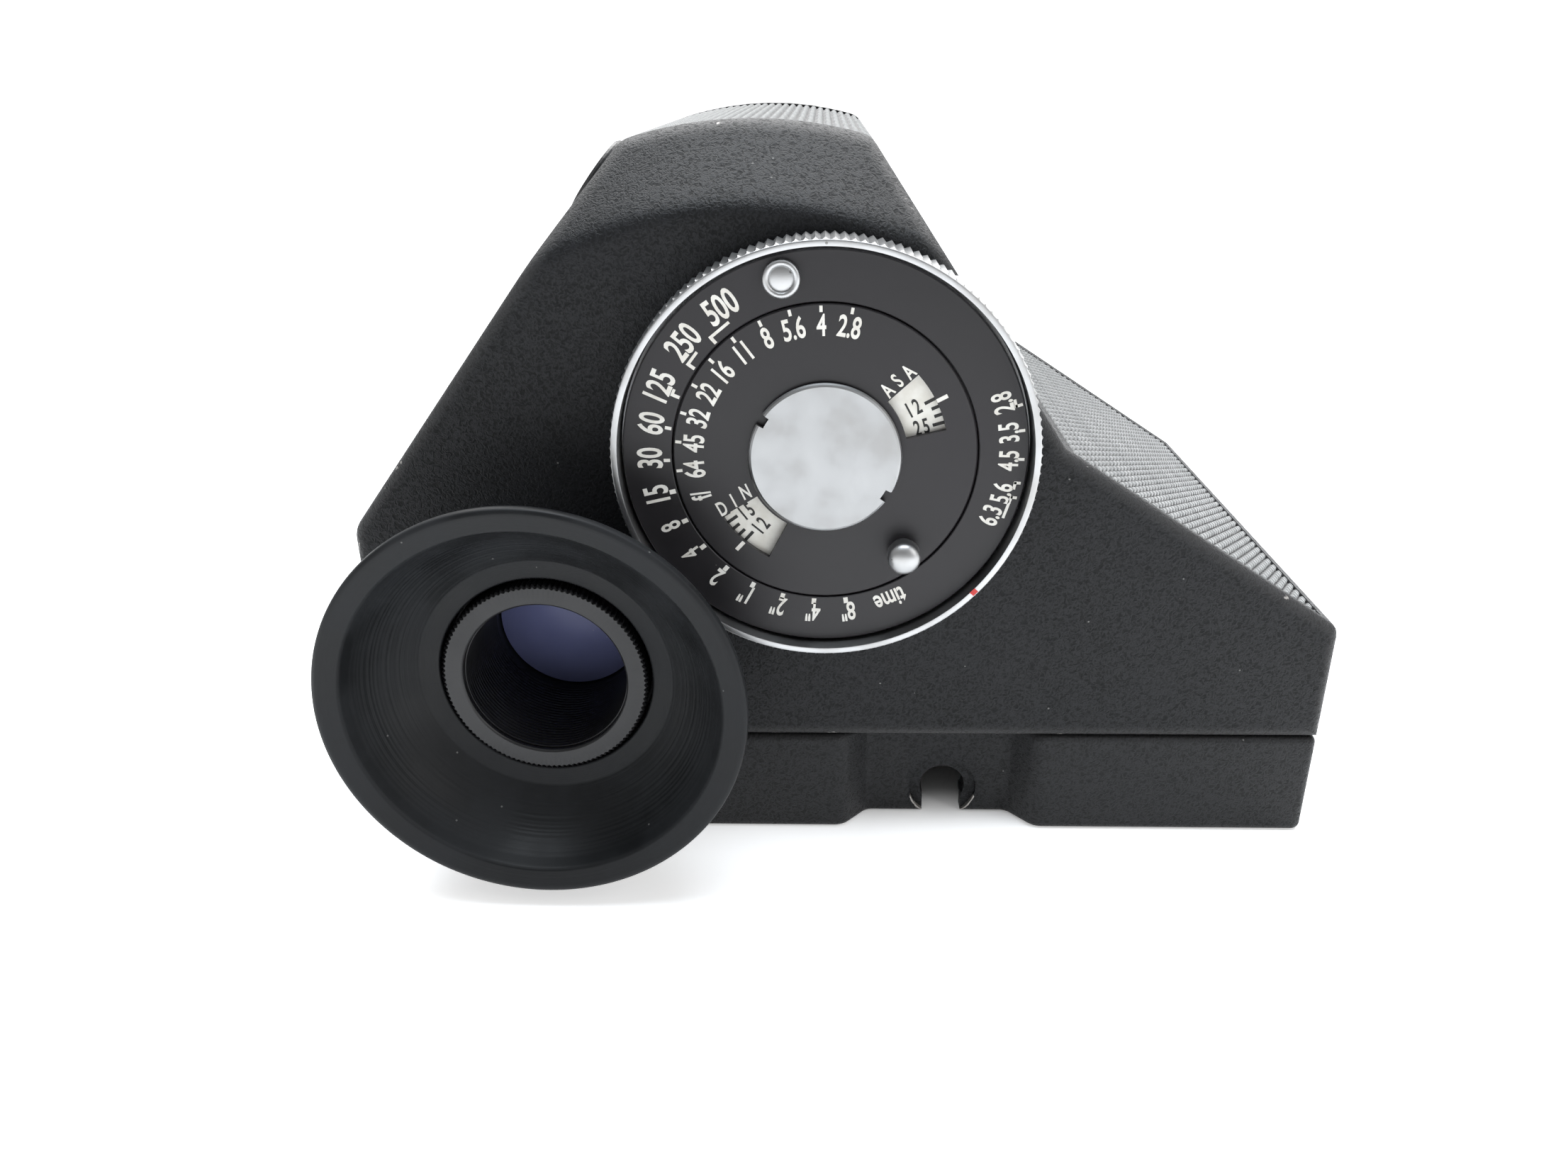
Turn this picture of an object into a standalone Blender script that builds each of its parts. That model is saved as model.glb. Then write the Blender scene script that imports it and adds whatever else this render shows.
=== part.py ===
"""Metering mirror finder for a twin-lens reflex camera: housing, mirrors, eyepiece, dial and meter.

Frame: +Z up, +Y away from the user, +X to the user's right. The origin is the middle of the
bounding box's bottom face, on the surface that the finder's base stands on.
"""
import math

import bmesh
import bpy
from mathutils import Matrix, Vector

MM = 0.001

# ---- driving dimensions, in millimetres; x from the base's middle, y from the rear face, z up ----
DEPTH = 61.7                 # rear face to front cover
COVER_T = 1.5                # front cover plate
WALL = 1.8                   # housing casting
GAP = 0.3                    # clearance between pieces that meet
BASE_HALF = 38.2             # half width of the base block
BASE_H = 11.1                # height of the base block
BODY_LEFT = -58.2            # the housing overhangs the base on the eyepiece side
BODY_BOTTOM = BASE_H + GAP
SHOULDER_L = (-58.2, 34.2)   # (x, z) where the left wall turns into the left slope
RIDGE_L = (-31.1, 68.9)      # left end of the arched ridge
RIDGE_TOP = (-19.65, 70.6)   # crown of the arched ridge
RIDGE_R = (-8.2, 69.0)       # right end of the arched ridge
KNEE = (10.1, 42.0)          # where the steep right slope meets the shallow one
SHOULDER_R = (BASE_HALF, 23.7)

BAND_DEPTH = 8.6             # how far the sloping band at the top of the rear face runs back
BAND_RISE = 6.4              # how far it climbs over that depth
BAND_CREASE_Z = 64.1         # height of the crease at the crown
BAND_SAG = 0.0135            # the crease falls by this much times x squared, in mm

SKIN_POCKET = 0.8            # depth of the pocket for the ribbed covering
SKIN_T = 0.6                 # covering thickness
SKIN_BORDER = 1.2            # metal left round the covering

DIAL = (-12.4, 42.7)         # (x, z) of the dial's axis
RING_R = 19.3                # outer radius of the knurled ring
RING_INNER_R = 18.55
RING_FRONT = -4.95           # y of the ring's front edge
TIME_FRONT = -3.6            # y of the two black discs' faces
TIME_R = 18.25
APERTURE_R = 13.7
CAP_R = 6.9
SPINDLE_R = 3.0

EYE = (-39.0, 21.8)          # (x, z) of the eyepiece's axis
EYE_LENS_Y = 6.3             # y of the lens that shows inside the barrel
BARREL_R = 8.6
BARREL_BORE = 7.7
RETAINER_R = 9.9             # outer radius of the ring that holds the eyecup
CUP_RIM_Y = -13.8
CUP_RIM_R = 19.8

X_MID = (EYE[0] - CUP_RIM_R + BASE_HALF) / 2
Y_MID = (DEPTH + CUP_RIM_Y) / 2

# ---- colours as (red, green, blue), roughness, metallic ----
FINISHES = {
    "crinkle_black": ((0.035, 0.036, 0.038), 0.55, 0.0),
    "leatherette": ((0.10, 0.105, 0.105), 0.45, 0.0),
    "rubber_black": ((0.030, 0.031, 0.032), 0.60, 0.0),
    "black_anodised": ((0.022, 0.022, 0.024), 0.40, 0.3),
    "satin_chrome": ((0.62, 0.62, 0.62), 0.28, 1.0),
    "dial_black": ((0.014, 0.013, 0.015), 0.42, 0.1),
    "scale_white": ((0.62, 0.61, 0.58), 0.50, 0.0),
    "coated_glass": ((0.10, 0.10, 0.22), 0.05, 0.0),
    "front_mirror": ((0.80, 0.82, 0.84), 0.04, 1.0),
    "steel": ((0.50, 0.50, 0.50), 0.35, 1.0),
    "brass": ((0.65, 0.50, 0.25), 0.35, 1.0),
    "magnet_grey": ((0.20, 0.20, 0.21), 0.50, 0.8),
    "moulding_black": ((0.03, 0.03, 0.03), 0.50, 0.0),
    "phenolic_brown": ((0.20, 0.10, 0.05), 0.55, 0.0),
    "needle_red": ((0.55, 0.04, 0.03), 0.45, 0.0),
    "wire_red": ((0.45, 0.03, 0.03), 0.45, 0.0),
    "wire_black": ((0.02, 0.02, 0.02), 0.45, 0.0),
}


def clear_scene():
    for old in list(bpy.data.objects):
        bpy.data.objects.remove(old, do_unlink=True)


def make_collection(name):
    group = bpy.data.collections.new(name)
    bpy.context.scene.collection.children.link(group)
    return group


clear_scene()
PARTS = make_collection("metering_mirror_finder")
CUTTERS = make_collection("cutters")


def finish(name):
    """One Principled material for each named finish."""
    if name in bpy.data.materials:
        return bpy.data.materials[name]
    colour, roughness, metallic = FINISHES[name]
    mat = bpy.data.materials.new(name)
    mat.use_nodes = True
    shader = mat.node_tree.nodes["Principled BSDF"]
    shader.inputs["Base Color"].default_value = (*colour, 1.0)
    shader.inputs["Roughness"].default_value = roughness
    shader.inputs["Metallic"].default_value = metallic
    return mat


def spot(x, y, z):
    """World place of a point given in the driving dimensions' millimetres."""
    return Vector(((x - X_MID) * MM, (y - Y_MID) * MM, z * MM))


def add(name, mesh, place, mat, smooth=True):
    """An object in the parts collection, at a place in driving millimetres."""
    obj = bpy.data.objects.new(name, mesh)
    obj.location = spot(*place)
    PARTS.objects.link(obj)
    mesh.materials.clear()
    mesh.materials.append(finish(mat))
    if smooth:
        mesh.shade_smooth()
        mesh.set_sharp_from_angle(angle=math.radians(30))
    return obj


def as_cutter(obj):
    """Moves an object to the cutters, where it isn't rendered or built."""
    PARTS.objects.unlink(obj)
    CUTTERS.objects.link(obj)
    obj.hide_render = True
    obj.display_type = "WIRE"
    return obj


def boolean(obj, other, operation="DIFFERENCE"):
    mod = obj.modifiers.new(operation.lower(), "BOOLEAN")
    mod.operation = operation
    mod.solver = "EXACT"
    mod.object = other
    return mod


def carve(obj, other, operation="DIFFERENCE"):
    """A cut in the housing, whose thin sloping walls the exact solver loses."""
    boolean(obj, other, operation).solver = "MANIFOLD"


def bevel(obj, width, segments=2, angle=40):
    mod = obj.modifiers.new("edge", "BEVEL")
    mod.width = width * MM
    mod.segments = segments
    mod.limit_method = "ANGLE"
    mod.angle_limit = math.radians(angle)
    return mod


def turn_to(mesh, axis):
    """Turns a mesh made along +Z so that it runs along the given axis."""
    spin = Vector((0, 0, 1)).rotation_difference(Vector(axis)).to_matrix().to_4x4()
    mesh.transform(spin)


def box(name, size, place, mat, rotation=None):
    """A block from a unit cube, with its size in the mesh."""
    mesh = bpy.data.meshes.new(name)
    bm = bmesh.new()
    bmesh.ops.create_cube(bm, size=1.0)
    bmesh.ops.scale(bm, vec=Vector(size) * MM, verts=bm.verts)
    if rotation is not None:
        bmesh.ops.transform(bm, matrix=rotation, verts=bm.verts)
    bm.to_mesh(mesh)
    bm.free()
    return add(name, mesh, place, mat, smooth=False)


def rod(name, radius, length, place, axis, mat, segments=32, tip_radius=None):
    """A cylinder, or a cone when a tip radius is given, centred on its place."""
    mesh = bpy.data.meshes.new(name)
    bm = bmesh.new()
    tip = radius if tip_radius is None else tip_radius
    bmesh.ops.create_cone(bm, cap_ends=True, segments=segments, radius1=radius * MM,
                          radius2=tip * MM, depth=length * MM)
    bm.to_mesh(mesh)
    bm.free()
    turn_to(mesh, axis)
    return add(name, mesh, place, mat)


def turned(name, profile, place, axis, mat, steps=48, closed=True):
    """A turned piece: (radius, height) points, top to bottom down the outer side, by a Screw."""
    mesh = bpy.data.meshes.new(name)
    bm = bmesh.new()
    verts = [bm.verts.new((r * MM, 0.0, h * MM)) for r, h in profile]
    for first, second in zip(verts, verts[1:]):
        bm.edges.new((first, second))
    if closed:
        bm.edges.new((verts[-1], verts[0]))
    bm.to_mesh(mesh)
    bm.free()
    obj = add(name, mesh, place, mat, smooth=False)
    obj.rotation_mode = "QUATERNION"
    obj.rotation_quaternion = Vector((0, 0, 1)).rotation_difference(Vector(axis))
    mod = obj.modifiers.new("turn", "SCREW")
    mod.axis = "Z"
    mod.angle = math.tau
    mod.steps = steps
    mod.render_steps = steps
    mod.use_merge_vertices = True
    mod.merge_threshold = 0.00001
    mod.use_smooth_shade = True
    return obj


def ring(name, outer, inner, low, high, place, axis, mat, steps=48):
    """A flat or tubular ring between two heights along its axis."""
    profile = [(outer, high), (outer, low), (inner, low), (inner, high)]
    return turned(name, profile, place, axis, mat, steps)


def extruded(name, points, y_low, y_high, mat, place_xz=(0.0, 0.0)):
    """A closed (x, z) outline as a filled 2D curve, extruded along Y and made a mesh."""
    curve = bpy.data.curves.new(name, "CURVE")
    curve.dimensions = "2D"
    curve.fill_mode = "BOTH"
    curve.extrude = (y_high - y_low) / 2 * MM
    spline = curve.splines.new("POLY")
    spline.points.add(len(points) - 1)
    for slot, (x, z) in zip(spline.points, points):
        slot.co = (x * MM, z * MM, 0.0, 1.0)
    spline.use_cyclic_u = True
    drawn = bpy.data.objects.new(name + "_outline", curve)
    PARTS.objects.link(drawn)
    deps = bpy.context.evaluated_depsgraph_get()
    mesh = bpy.data.meshes.new_from_object(drawn.evaluated_get(deps))
    bpy.data.objects.remove(drawn, do_unlink=True)
    bpy.data.curves.remove(curve)
    mesh.transform(Matrix.Rotation(math.radians(90), 4, "X"))
    bm = bmesh.new()
    bm.from_mesh(mesh)
    bmesh.ops.remove_doubles(bm, verts=bm.verts, dist=0.000005)
    bmesh.ops.dissolve_limit(bm, angle_limit=math.radians(0.5), verts=bm.verts, edges=bm.edges)
    bmesh.ops.recalc_face_normals(bm, faces=bm.faces)
    bm.to_mesh(mesh)
    bm.free()
    place = (place_xz[0], (y_low + y_high) / 2, place_xz[1])
    return add(name, mesh, place, mat)


def wire(name, points, radius, mat):
    """A thin wire through points in driving millimetres."""
    curve = bpy.data.curves.new(name, "CURVE")
    curve.dimensions = "3D"
    curve.bevel_depth = radius * MM
    curve.bevel_resolution = 2
    curve.use_fill_caps = True
    spline = curve.splines.new("POLY")
    spline.points.add(len(points) - 1)
    for slot, (x, y, z) in zip(spline.points, points):
        slot.co = (*(spot(x, y, z)), 1.0)
    obj = bpy.data.objects.new(name, curve)
    curve.materials.append(finish(mat))
    PARTS.objects.link(obj)
    return obj


def smooth_path(knots, count):
    """Points along a Catmull-Rom curve through the knots."""
    ends = [knots[0]] + list(knots) + [knots[-1]]
    path = []
    spans = len(knots) - 1
    for step in range(count):
        along = step / (count - 1) * spans
        span = min(int(along), spans - 1)
        t = along - span
        a, b, c, d = (Vector(ends[span + k]) for k in range(4))
        point = 0.5 * ((2 * b) + (c - a) * t + (2 * a - 5 * b + 4 * c - d) * t * t
                       + (3 * b - a - 3 * c + d) * t ** 3)
        path.append(tuple(point))
    return path


def unit(p, q):
    span = math.hypot(q[0] - p[0], q[1] - p[1])
    return ((q[0] - p[0]) / span, (q[1] - p[1]) / span)


def fillet(before, corner, after, radius, steps=4):
    """Arc points that round a corner of an outline; a radius of 0 keeps the corner."""
    if radius <= 0:
        return [corner]
    into = unit(corner, before)
    out = unit(corner, after)
    half = math.acos(max(-1.0, min(1.0, into[0] * out[0] + into[1] * out[1]))) / 2
    reach = radius / math.tan(half)
    start = (corner[0] + into[0] * reach, corner[1] + into[1] * reach)
    end = (corner[0] + out[0] * reach, corner[1] + out[1] * reach)
    middle = unit((0, 0), (into[0] + out[0], into[1] + out[1]))
    span = radius / math.sin(half)
    centre = (corner[0] + middle[0] * span, corner[1] + middle[1] * span)
    first = math.atan2(start[1] - centre[1], start[0] - centre[0])
    last = math.atan2(end[1] - centre[1], end[0] - centre[0])
    turn = (last - first + math.pi) % math.tau - math.pi
    return [(centre[0] + radius * math.cos(first + turn * k / steps),
             centre[1] + radius * math.sin(first + turn * k / steps)) for k in range(steps + 1)]


def rounded(corners, radii, steps=4):
    """An outline with each corner rounded by its own radius."""
    count = len(corners)
    points = []
    for k in range(count):
        points += fillet(corners[k - 1], corners[k], corners[(k + 1) % count], radii[k], steps)
    return points


def arch(left, top, right, steps=8):
    """Points of a shallow parabola from left over top to right."""
    half = (right[0] - left[0]) / 2
    points = []
    for k in range(1, steps):
        x = left[0] + (right[0] - left[0]) * k / steps
        line = left[1] + (right[1] - left[1]) * k / steps
        rise = top[1] - (left[1] + right[1]) / 2
        points.append((x, line + rise * (1 - ((x - left[0] - half) / half) ** 2)))
    return points


def inset(points, amount):
    """A clockwise outline moved inwards by an amount, each edge parallel to itself."""
    count = len(points)
    moved = []
    for k in range(count):
        before, here, after = points[k - 1], points[k], points[(k + 1) % count]
        first = unit(before, here)
        second = unit(here, after)
        normal = (first[1] + second[1], -first[0] - second[0])
        scale = amount / (1 + first[0] * second[0] + first[1] * second[1])
        moved.append((here[0] + normal[0] * scale, here[1] + normal[1] * scale))
    return moved


def body_outline():
    """The housing's outline, clockwise from the bottom left, seen from behind the camera."""
    ridge = arch(RIDGE_L, RIDGE_TOP, RIDGE_R)
    lower_l = [(BODY_LEFT, BODY_BOTTOM)]
    shoulder_l = fillet(lower_l[0], SHOULDER_L, RIDGE_L, 3.0)
    corner_l = fillet(SHOULDER_L, RIDGE_L, ridge[1], 2.2)
    corner_r = fillet(ridge[-2], RIDGE_R, KNEE, 2.2)
    shoulder_r = fillet(KNEE, SHOULDER_R, (BASE_HALF, BODY_BOTTOM), 1.6)
    return (lower_l + shoulder_l + corner_l + ridge[1:-1] + corner_r
            + [KNEE] + shoulder_r + [(BASE_HALF, BODY_BOTTOM)])


OUTLINE = body_outline()

# slope directions (up the slope) and outward normals, in (x, z)
SLOPE_L = unit(SHOULDER_L, RIDGE_L)
OUT_L = (-SLOPE_L[1], SLOPE_L[0])
SLOPE_R = unit(SHOULDER_R, KNEE)
OUT_R = (SLOPE_R[1], -SLOPE_R[0])
STEEP_R = unit(RIDGE_R, KNEE)


def on_left(along, depth):
    """(x, z) of a point that far up the left slope and that deep under its face."""
    return (SHOULDER_L[0] + SLOPE_L[0] * along - OUT_L[0] * depth,
            SHOULDER_L[1] + SLOPE_L[1] * along - OUT_L[1] * depth)


def on_right(along, depth):
    """(x, z) of a point that far up the shallow right slope and that deep under its face."""
    return (SHOULDER_R[0] + SLOPE_R[0] * along - OUT_R[0] * depth,
            SHOULDER_R[1] + SLOPE_R[1] * along - OUT_R[1] * depth)


def slope_turn(direction):
    """Turns a block's long X side along an (x, z) direction."""
    return Matrix.Rotation(-math.atan2(direction[1], direction[0]), 4, "Y")


def slope_box(name, on_slope, direction, span, depths, ys, mat):
    """A plate parallel to a slope, between two places along it, two depths and two ys."""
    middle = on_slope(sum(span) / 2, sum(depths) / 2)
    size = (span[1] - span[0], ys[1] - ys[0], depths[1] - depths[0])
    place = (middle[0], sum(ys) / 2, middle[1])
    return box(name, size, place, mat, slope_turn(direction))


def skin_band(path, outer, inner):
    """A closed band that follows an open run of the housing's outline."""
    over = inset(path, -outer)
    under = inset(path, inner)
    return over[1:-1] + under[1:-1][::-1]


def band_cutter(name, drop, widen):
    """The space above the sloping band, or above a surface that lies a drop under it."""
    half = 40.0 + widen
    steps = 16
    curve = []
    for k in range(steps + 1):
        x = RIDGE_TOP[0] - half + 2 * half * k / steps
        curve.append((x, BAND_CREASE_Z - drop - BAND_SAG * (x - RIDGE_TOP[0]) ** 2))
    y_low, y_high = -4.0 - widen, 30.0
    points = curve + [(curve[-1][0], 100.0), (curve[0][0], 100.0)]
    cutter = as_cutter(extruded(name, points, y_low, y_high, "steel"))
    slope = BAND_RISE / BAND_DEPTH
    middle = (y_low + y_high) / 2
    for vert in cutter.data.vertices:
        vert.co.z += slope * (vert.co.y + middle * MM)
    return cutter


# ---------------------------------------------------------------- housing, cover and base
BOSSES = ((BODY_LEFT + 3.3, BODY_BOTTOM + 3.3), (BASE_HALF - 3.3, BODY_BOTTOM + 3.3),
          (-29.6, 65.0), (-10.2, 65.2))
BOSS_LOW = 54.0
SHELL_FRONT = DEPTH - COVER_T - GAP
BATTERY = (44.0, 22.6)       # (y, z) of the battery's axis, in the left wall
CAP_HOLE = 9.1
KNOB_ALONG = 35.3            # place of the switch knob up the left slope
KNOB_Y = 36.0
ROOF_START = BAND_DEPTH + 1.4


def roof_run():
    """The part of the outline that the roof covering follows, with a point past each end."""
    ridge = arch(RIDGE_L, RIDGE_TOP, RIDGE_R)
    start = on_left(2.0, 0.0)
    path = [on_left(0.0, 0.0), start]
    path += fillet(SHOULDER_L, RIDGE_L, ridge[1], 2.2) + ridge[1:-1]
    path += fillet(ridge[-2], RIDGE_R, KNEE, 2.2)
    last = (KNEE[0] - STEEP_R[0] * 1.2, KNEE[1] - STEEP_R[1] * 1.2)
    return path + [last, (last[0] + STEEP_R[0], last[1] + STEEP_R[1])]


def housing_shell():
    shell = extruded("housing_shell", OUTLINE, 0.0, SHELL_FRONT, "crinkle_black")
    bevel(shell, 0.7, 2)
    carve(shell, band_cutter("band_cutter", 0.0, 0.0))
    cavity = as_cutter(extruded("cavity_cutter", inset(OUTLINE, WALL), WALL, DEPTH + 5, "steel"))
    carve(cavity, band_cutter("band_inner_cutter", WALL / math.cos(math.atan(BAND_RISE / BAND_DEPTH)), 3.0))
    carve(shell, cavity)
    for number, (x, z) in enumerate(BOSSES, 1):
        post = rod(f"boss_{number}", 2.4, SHELL_FRONT - BOSS_LOW, (x, (SHELL_FRONT + BOSS_LOW) / 2, z),
                   (0, 1, 0), "steel", 16)
        carve(shell, as_cutter(post), "UNION")
    for number, (x, z) in enumerate(BOSSES, 1):
        hole = rod(f"boss_hole_{number}", 1.0, 8.0, (x, SHELL_FRONT, z), (0, 1, 0), "steel", 12)
        carve(shell, as_cutter(hole))
    light = box("light_cutter", (*LIGHT_SIZE, 8.0), (0.0, LIGHT_Y, BODY_BOTTOM), "steel")
    carve(shell, as_cutter(light))
    recess = rod("dial_recess_cutter", 17.9, 1.6, (DIAL[0], 0.0, DIAL[1]), (0, 1, 0), "steel", 64)
    carve(shell, as_cutter(recess))
    spindle = rod("spindle_cutter", SPINDLE_R + GAP, 12.0, (DIAL[0], 0.0, DIAL[1]), (0, 1, 0),
                  "steel", 24)
    carve(shell, as_cutter(spindle))
    bore = rod("eyepiece_cutter", BARREL_R + GAP, 12.0, (EYE[0], 0.0, EYE[1]), (0, 1, 0), "steel", 48)
    carve(shell, as_cutter(bore))
    cap = rod("battery_cutter", CAP_HOLE, 8.0, (BODY_LEFT, *BATTERY), (1, 0, 0), "steel", 48)
    carve(shell, as_cutter(cap))
    x, z = on_left(KNOB_ALONG, 0.0)
    shaft = rod("knob_cutter", 1.8, 12.0, (x, KNOB_Y, z), (OUT_L[0], 0, OUT_L[1]), "steel", 20)
    carve(shell, as_cutter(shaft))
    roof = extruded("roof_pocket_cutter", skin_band(roof_run(), 3.0, SKIN_POCKET), ROOF_START,
                    SHELL_FRONT - SKIN_BORDER, "steel")
    carve(shell, as_cutter(roof))
    length = math.dist(SHOULDER_R, KNEE)
    side = slope_box("side_pocket_cutter", on_right, SLOPE_R, (2.0, length - 1.0), (-2.0, SKIN_POCKET),
                     (SKIN_BORDER, SHELL_FRONT - SKIN_BORDER), "steel")
    carve(shell, as_cutter(side))
    return shell


def coverings():
    """The two sheets of ribbed covering, let into the housing."""
    back, front = ROOF_START + GAP, SHELL_FRONT - SKIN_BORDER - GAP
    path = roof_run()
    path[1] = on_left(2.0 + GAP, 0.0)
    path[-2] = (path[-2][0] - STEEP_R[0] * GAP, path[-2][1] - STEEP_R[1] * GAP)
    roof = extruded("roof_covering", skin_band(path, 0.0, SKIN_T), back, front, "leatherette")
    x, z = on_left(KNOB_ALONG, 0.0)
    hole = rod("covering_hole_cutter", 2.1, 6.0, (x, KNOB_Y, z), (OUT_L[0], 0, OUT_L[1]), "steel", 20)
    boolean(roof, as_cutter(hole))
    length = math.dist(SHOULDER_R, KNEE)
    slope_box("side_covering", on_right, SLOPE_R, (2.0 + GAP, length - 1.0 - GAP), (0.0, SKIN_T),
              (SKIN_BORDER + GAP, front), "leatherette")


def front_cover():
    low = DEPTH - COVER_T
    cover = extruded("front_cover", OUTLINE, low, DEPTH, "crinkle_black")
    bevel(cover, 0.4, 2)
    for number, (x, z) in enumerate(BOSSES, 1):
        hole = rod(f"cover_hole_{number}", 2.1, 6.0, (x, DEPTH, z), (0, 1, 0), "steel", 20)
        boolean(cover, as_cutter(hole))
    for number, (x, z) in enumerate(BOSSES, 1):
        screw(f"cover_screw_{number}", 1.8, 1.3, 0.7, 5.0, (x, DEPTH, z), (0, 1, 0))


def screw(name, head_r, head_h, shank_r, length, place, axis):
    """A slotted screw whose head's top is at its place."""
    profile = [(0.0, 0.0), (head_r - 0.2, 0.0), (head_r, -0.2), (head_r, -head_h),
               (shank_r, -head_h), (shank_r, -length), (0.0, -length)]
    piece = turned(name, profile, place, axis, "steel", 20, closed=False)
    sunk = Vector(axis) * -0.1
    at = (place[0] + sunk.x, place[1] + sunk.y, place[2] + sunk.z)
    slot = box(name + "_slot", (0.5, 1.0, 5.0), at, "steel",
               Vector((0, 1, 0)).rotation_difference(Vector(axis)).to_matrix().to_4x4())
    boolean(piece, as_cutter(slot))
    return piece


LIGHT_SIZE = (57.0, 50.0)    # x and y of the opening that the picture comes up through
LIGHT_Y = 31.0
NOTCH_HALF = (10.1, 7.45)    # half width of the notch at the rear face and at its own face
NOTCH_DEPTH = 3.0
NOTCH_X = -0.2
KEYHOLE = (0.4, 3.25)        # (x, z) of the catch hole's centre
KEYHOLE_R = (3.6, 2.4)       # its counterbore and the hole behind
KEYHOLE_STEP = 0.5           # depth of the counterbore


def notch_cutter():
    """The space in front of the notch: a block that narrows from the rear face inwards."""
    notch = bpy.data.meshes.new("notch_cutter")
    bm = bmesh.new()
    bmesh.ops.create_cube(bm, size=1.0)
    lead = 2.0
    flare = (NOTCH_HALF[0] - NOTCH_HALF[1]) / NOTCH_DEPTH * lead
    for vert in bm.verts:
        inner = vert.co.y > 0
        half = NOTCH_HALF[1] if inner else NOTCH_HALF[0] + flare
        vert.co = (math.copysign(half, vert.co.x) * MM, (NOTCH_DEPTH if inner else -lead) * MM,
                   math.copysign(BASE_H + 1.0, vert.co.z) * MM)
    bm.to_mesh(notch)
    bm.free()
    return as_cutter(add("notch_cutter", notch, (NOTCH_X, 0.0, BASE_H / 2), "steel", False))


def base_frame():
    """The block that drops onto the camera: a frame with a notch and a stepped hole for the catch."""
    depth = SHELL_FRONT
    frame = box("base_frame", (2 * BASE_HALF, depth, BASE_H), (0.0, depth / 2, BASE_H / 2),
                "crinkle_black")
    bevel(frame, 0.7, 2)
    light = box("base_light_cutter", (*LIGHT_SIZE, 30.0), (0.0, LIGHT_Y, BASE_H / 2), "steel")
    boolean(frame, as_cutter(light))
    lip = box("base_lip_cutter", (62.0, 53.0, 3.0), (0.0, LIGHT_Y + 0.5, 0.0), "steel")
    boolean(frame, as_cutter(lip))
    boolean(frame, notch_cutter())
    x, z = KEYHOLE
    counterbore = rod("keyhole_outer_cutter", KEYHOLE_R[0], 2 * KEYHOLE_STEP, (x, NOTCH_DEPTH, z),
                      (0, 1, 0), "steel", 32)
    boolean(frame, as_cutter(counterbore))
    behind = (x, NOTCH_DEPTH + 2.0, z)
    through = rod("keyhole_inner_cutter", KEYHOLE_R[1], 8.0, behind, (0, 1, 0), "steel", 24)
    boolean(frame, as_cutter(through))
    slot = box("keyhole_slot_cutter", (2 * KEYHOLE_R[1] - 0.6, 8.0, 2 * z), (x, behind[1], 0.0), "steel")
    boolean(frame, as_cutter(slot))
    corners = ((-34.0, 3.4), (34.0, 3.4), (-34.0, depth - 3.4), (34.0, depth - 3.4))
    for number, (x, y) in enumerate(corners, 1):
        hole = rod(f"base_hole_{number}", 1.9, 3.6, (x, y, 0.0), (0, 0, 1), "steel", 20)
        boolean(frame, as_cutter(hole))
    for number, (x, y) in enumerate(corners, 1):
        screw(f"base_screw_{number}", 1.6, 1.0, 0.7, 1.5, (x, y, 0.2), (0, 0, -1))


# ---------------------------------------------------------------- mirrors
MIRROR_T = 1.8
HOLDER_T = 1.2
SKIN_UNDER = WALL + GAP      # first depth under a slope that is clear of the casting
M1_SPAN = (7.5, 61.0)
M1_Y = (6.0, 53.0)
M2_SPAN = (3.5, 29.0)
M2_Y = (5.0, 44.0)
EYE_MIRROR_Y = 24.5


def mirrors():
    """Three front-silvered mirrors, each on its own holder."""
    holder = (SKIN_UNDER, SKIN_UNDER + HOLDER_T)
    glass = (holder[1] + GAP, holder[1] + GAP + MIRROR_T)
    slope_box("main_mirror_holder", on_right, SLOPE_R, (M1_SPAN[0] - 0.8, M1_SPAN[1] + 0.8), holder,
              (M1_Y[0] - 0.8, M1_Y[1] + 0.8), "moulding_black")
    bevel(slope_box("main_mirror", on_right, SLOPE_R, M1_SPAN, glass, M1_Y, "front_mirror"), 0.3, 1)
    slope_box("side_mirror_holder", on_left, SLOPE_L, (M2_SPAN[0] - 0.8, M2_SPAN[1] + 0.8), holder,
              (M2_Y[0] - 0.8, M2_Y[1] + 0.8), "moulding_black")
    bevel(slope_box("side_mirror", on_left, SLOPE_L, M2_SPAN, glass, M2_Y, "front_mirror"), 0.3, 1)
    tilt = Matrix.Rotation(math.radians(45), 4, "X")
    side = 22.0
    plate = box("eyepiece_mirror", (20.0, side, MIRROR_T), (EYE[0], EYE_MIRROR_Y, EYE[1] + 0.6),
                "front_mirror", tilt)
    bevel(plate, 0.3, 1)
    wedge_bracket(side)


def wedge_bracket(side):
    """A 45 degree bracket under the eyepiece mirror, from a block cut on the slant."""
    low = BODY_BOTTOM + WALL + GAP
    reach = side * math.sqrt(0.5)
    place = (EYE[0], EYE_MIRROR_Y + 1.2, low + reach / 2)
    block = box("eyepiece_mirror_bracket", (18.0, reach, reach), place, "moulding_black")
    tilt = Matrix.Rotation(math.radians(45), 4, "X")
    above = box("bracket_cutter", (30.0, 60.0, 30.0),
                (EYE[0], EYE_MIRROR_Y + 0.6, EYE[1]), "steel", tilt)
    shift = Vector((0.0, -math.sqrt(0.5), math.sqrt(0.5))) * (15.0 - MIRROR_T / 2 - GAP) * MM
    above.location += shift
    boolean(block, as_cutter(above))


# ---------------------------------------------------------------- eyepiece
TOWARDS_USER = (0, -1, 0)


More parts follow.
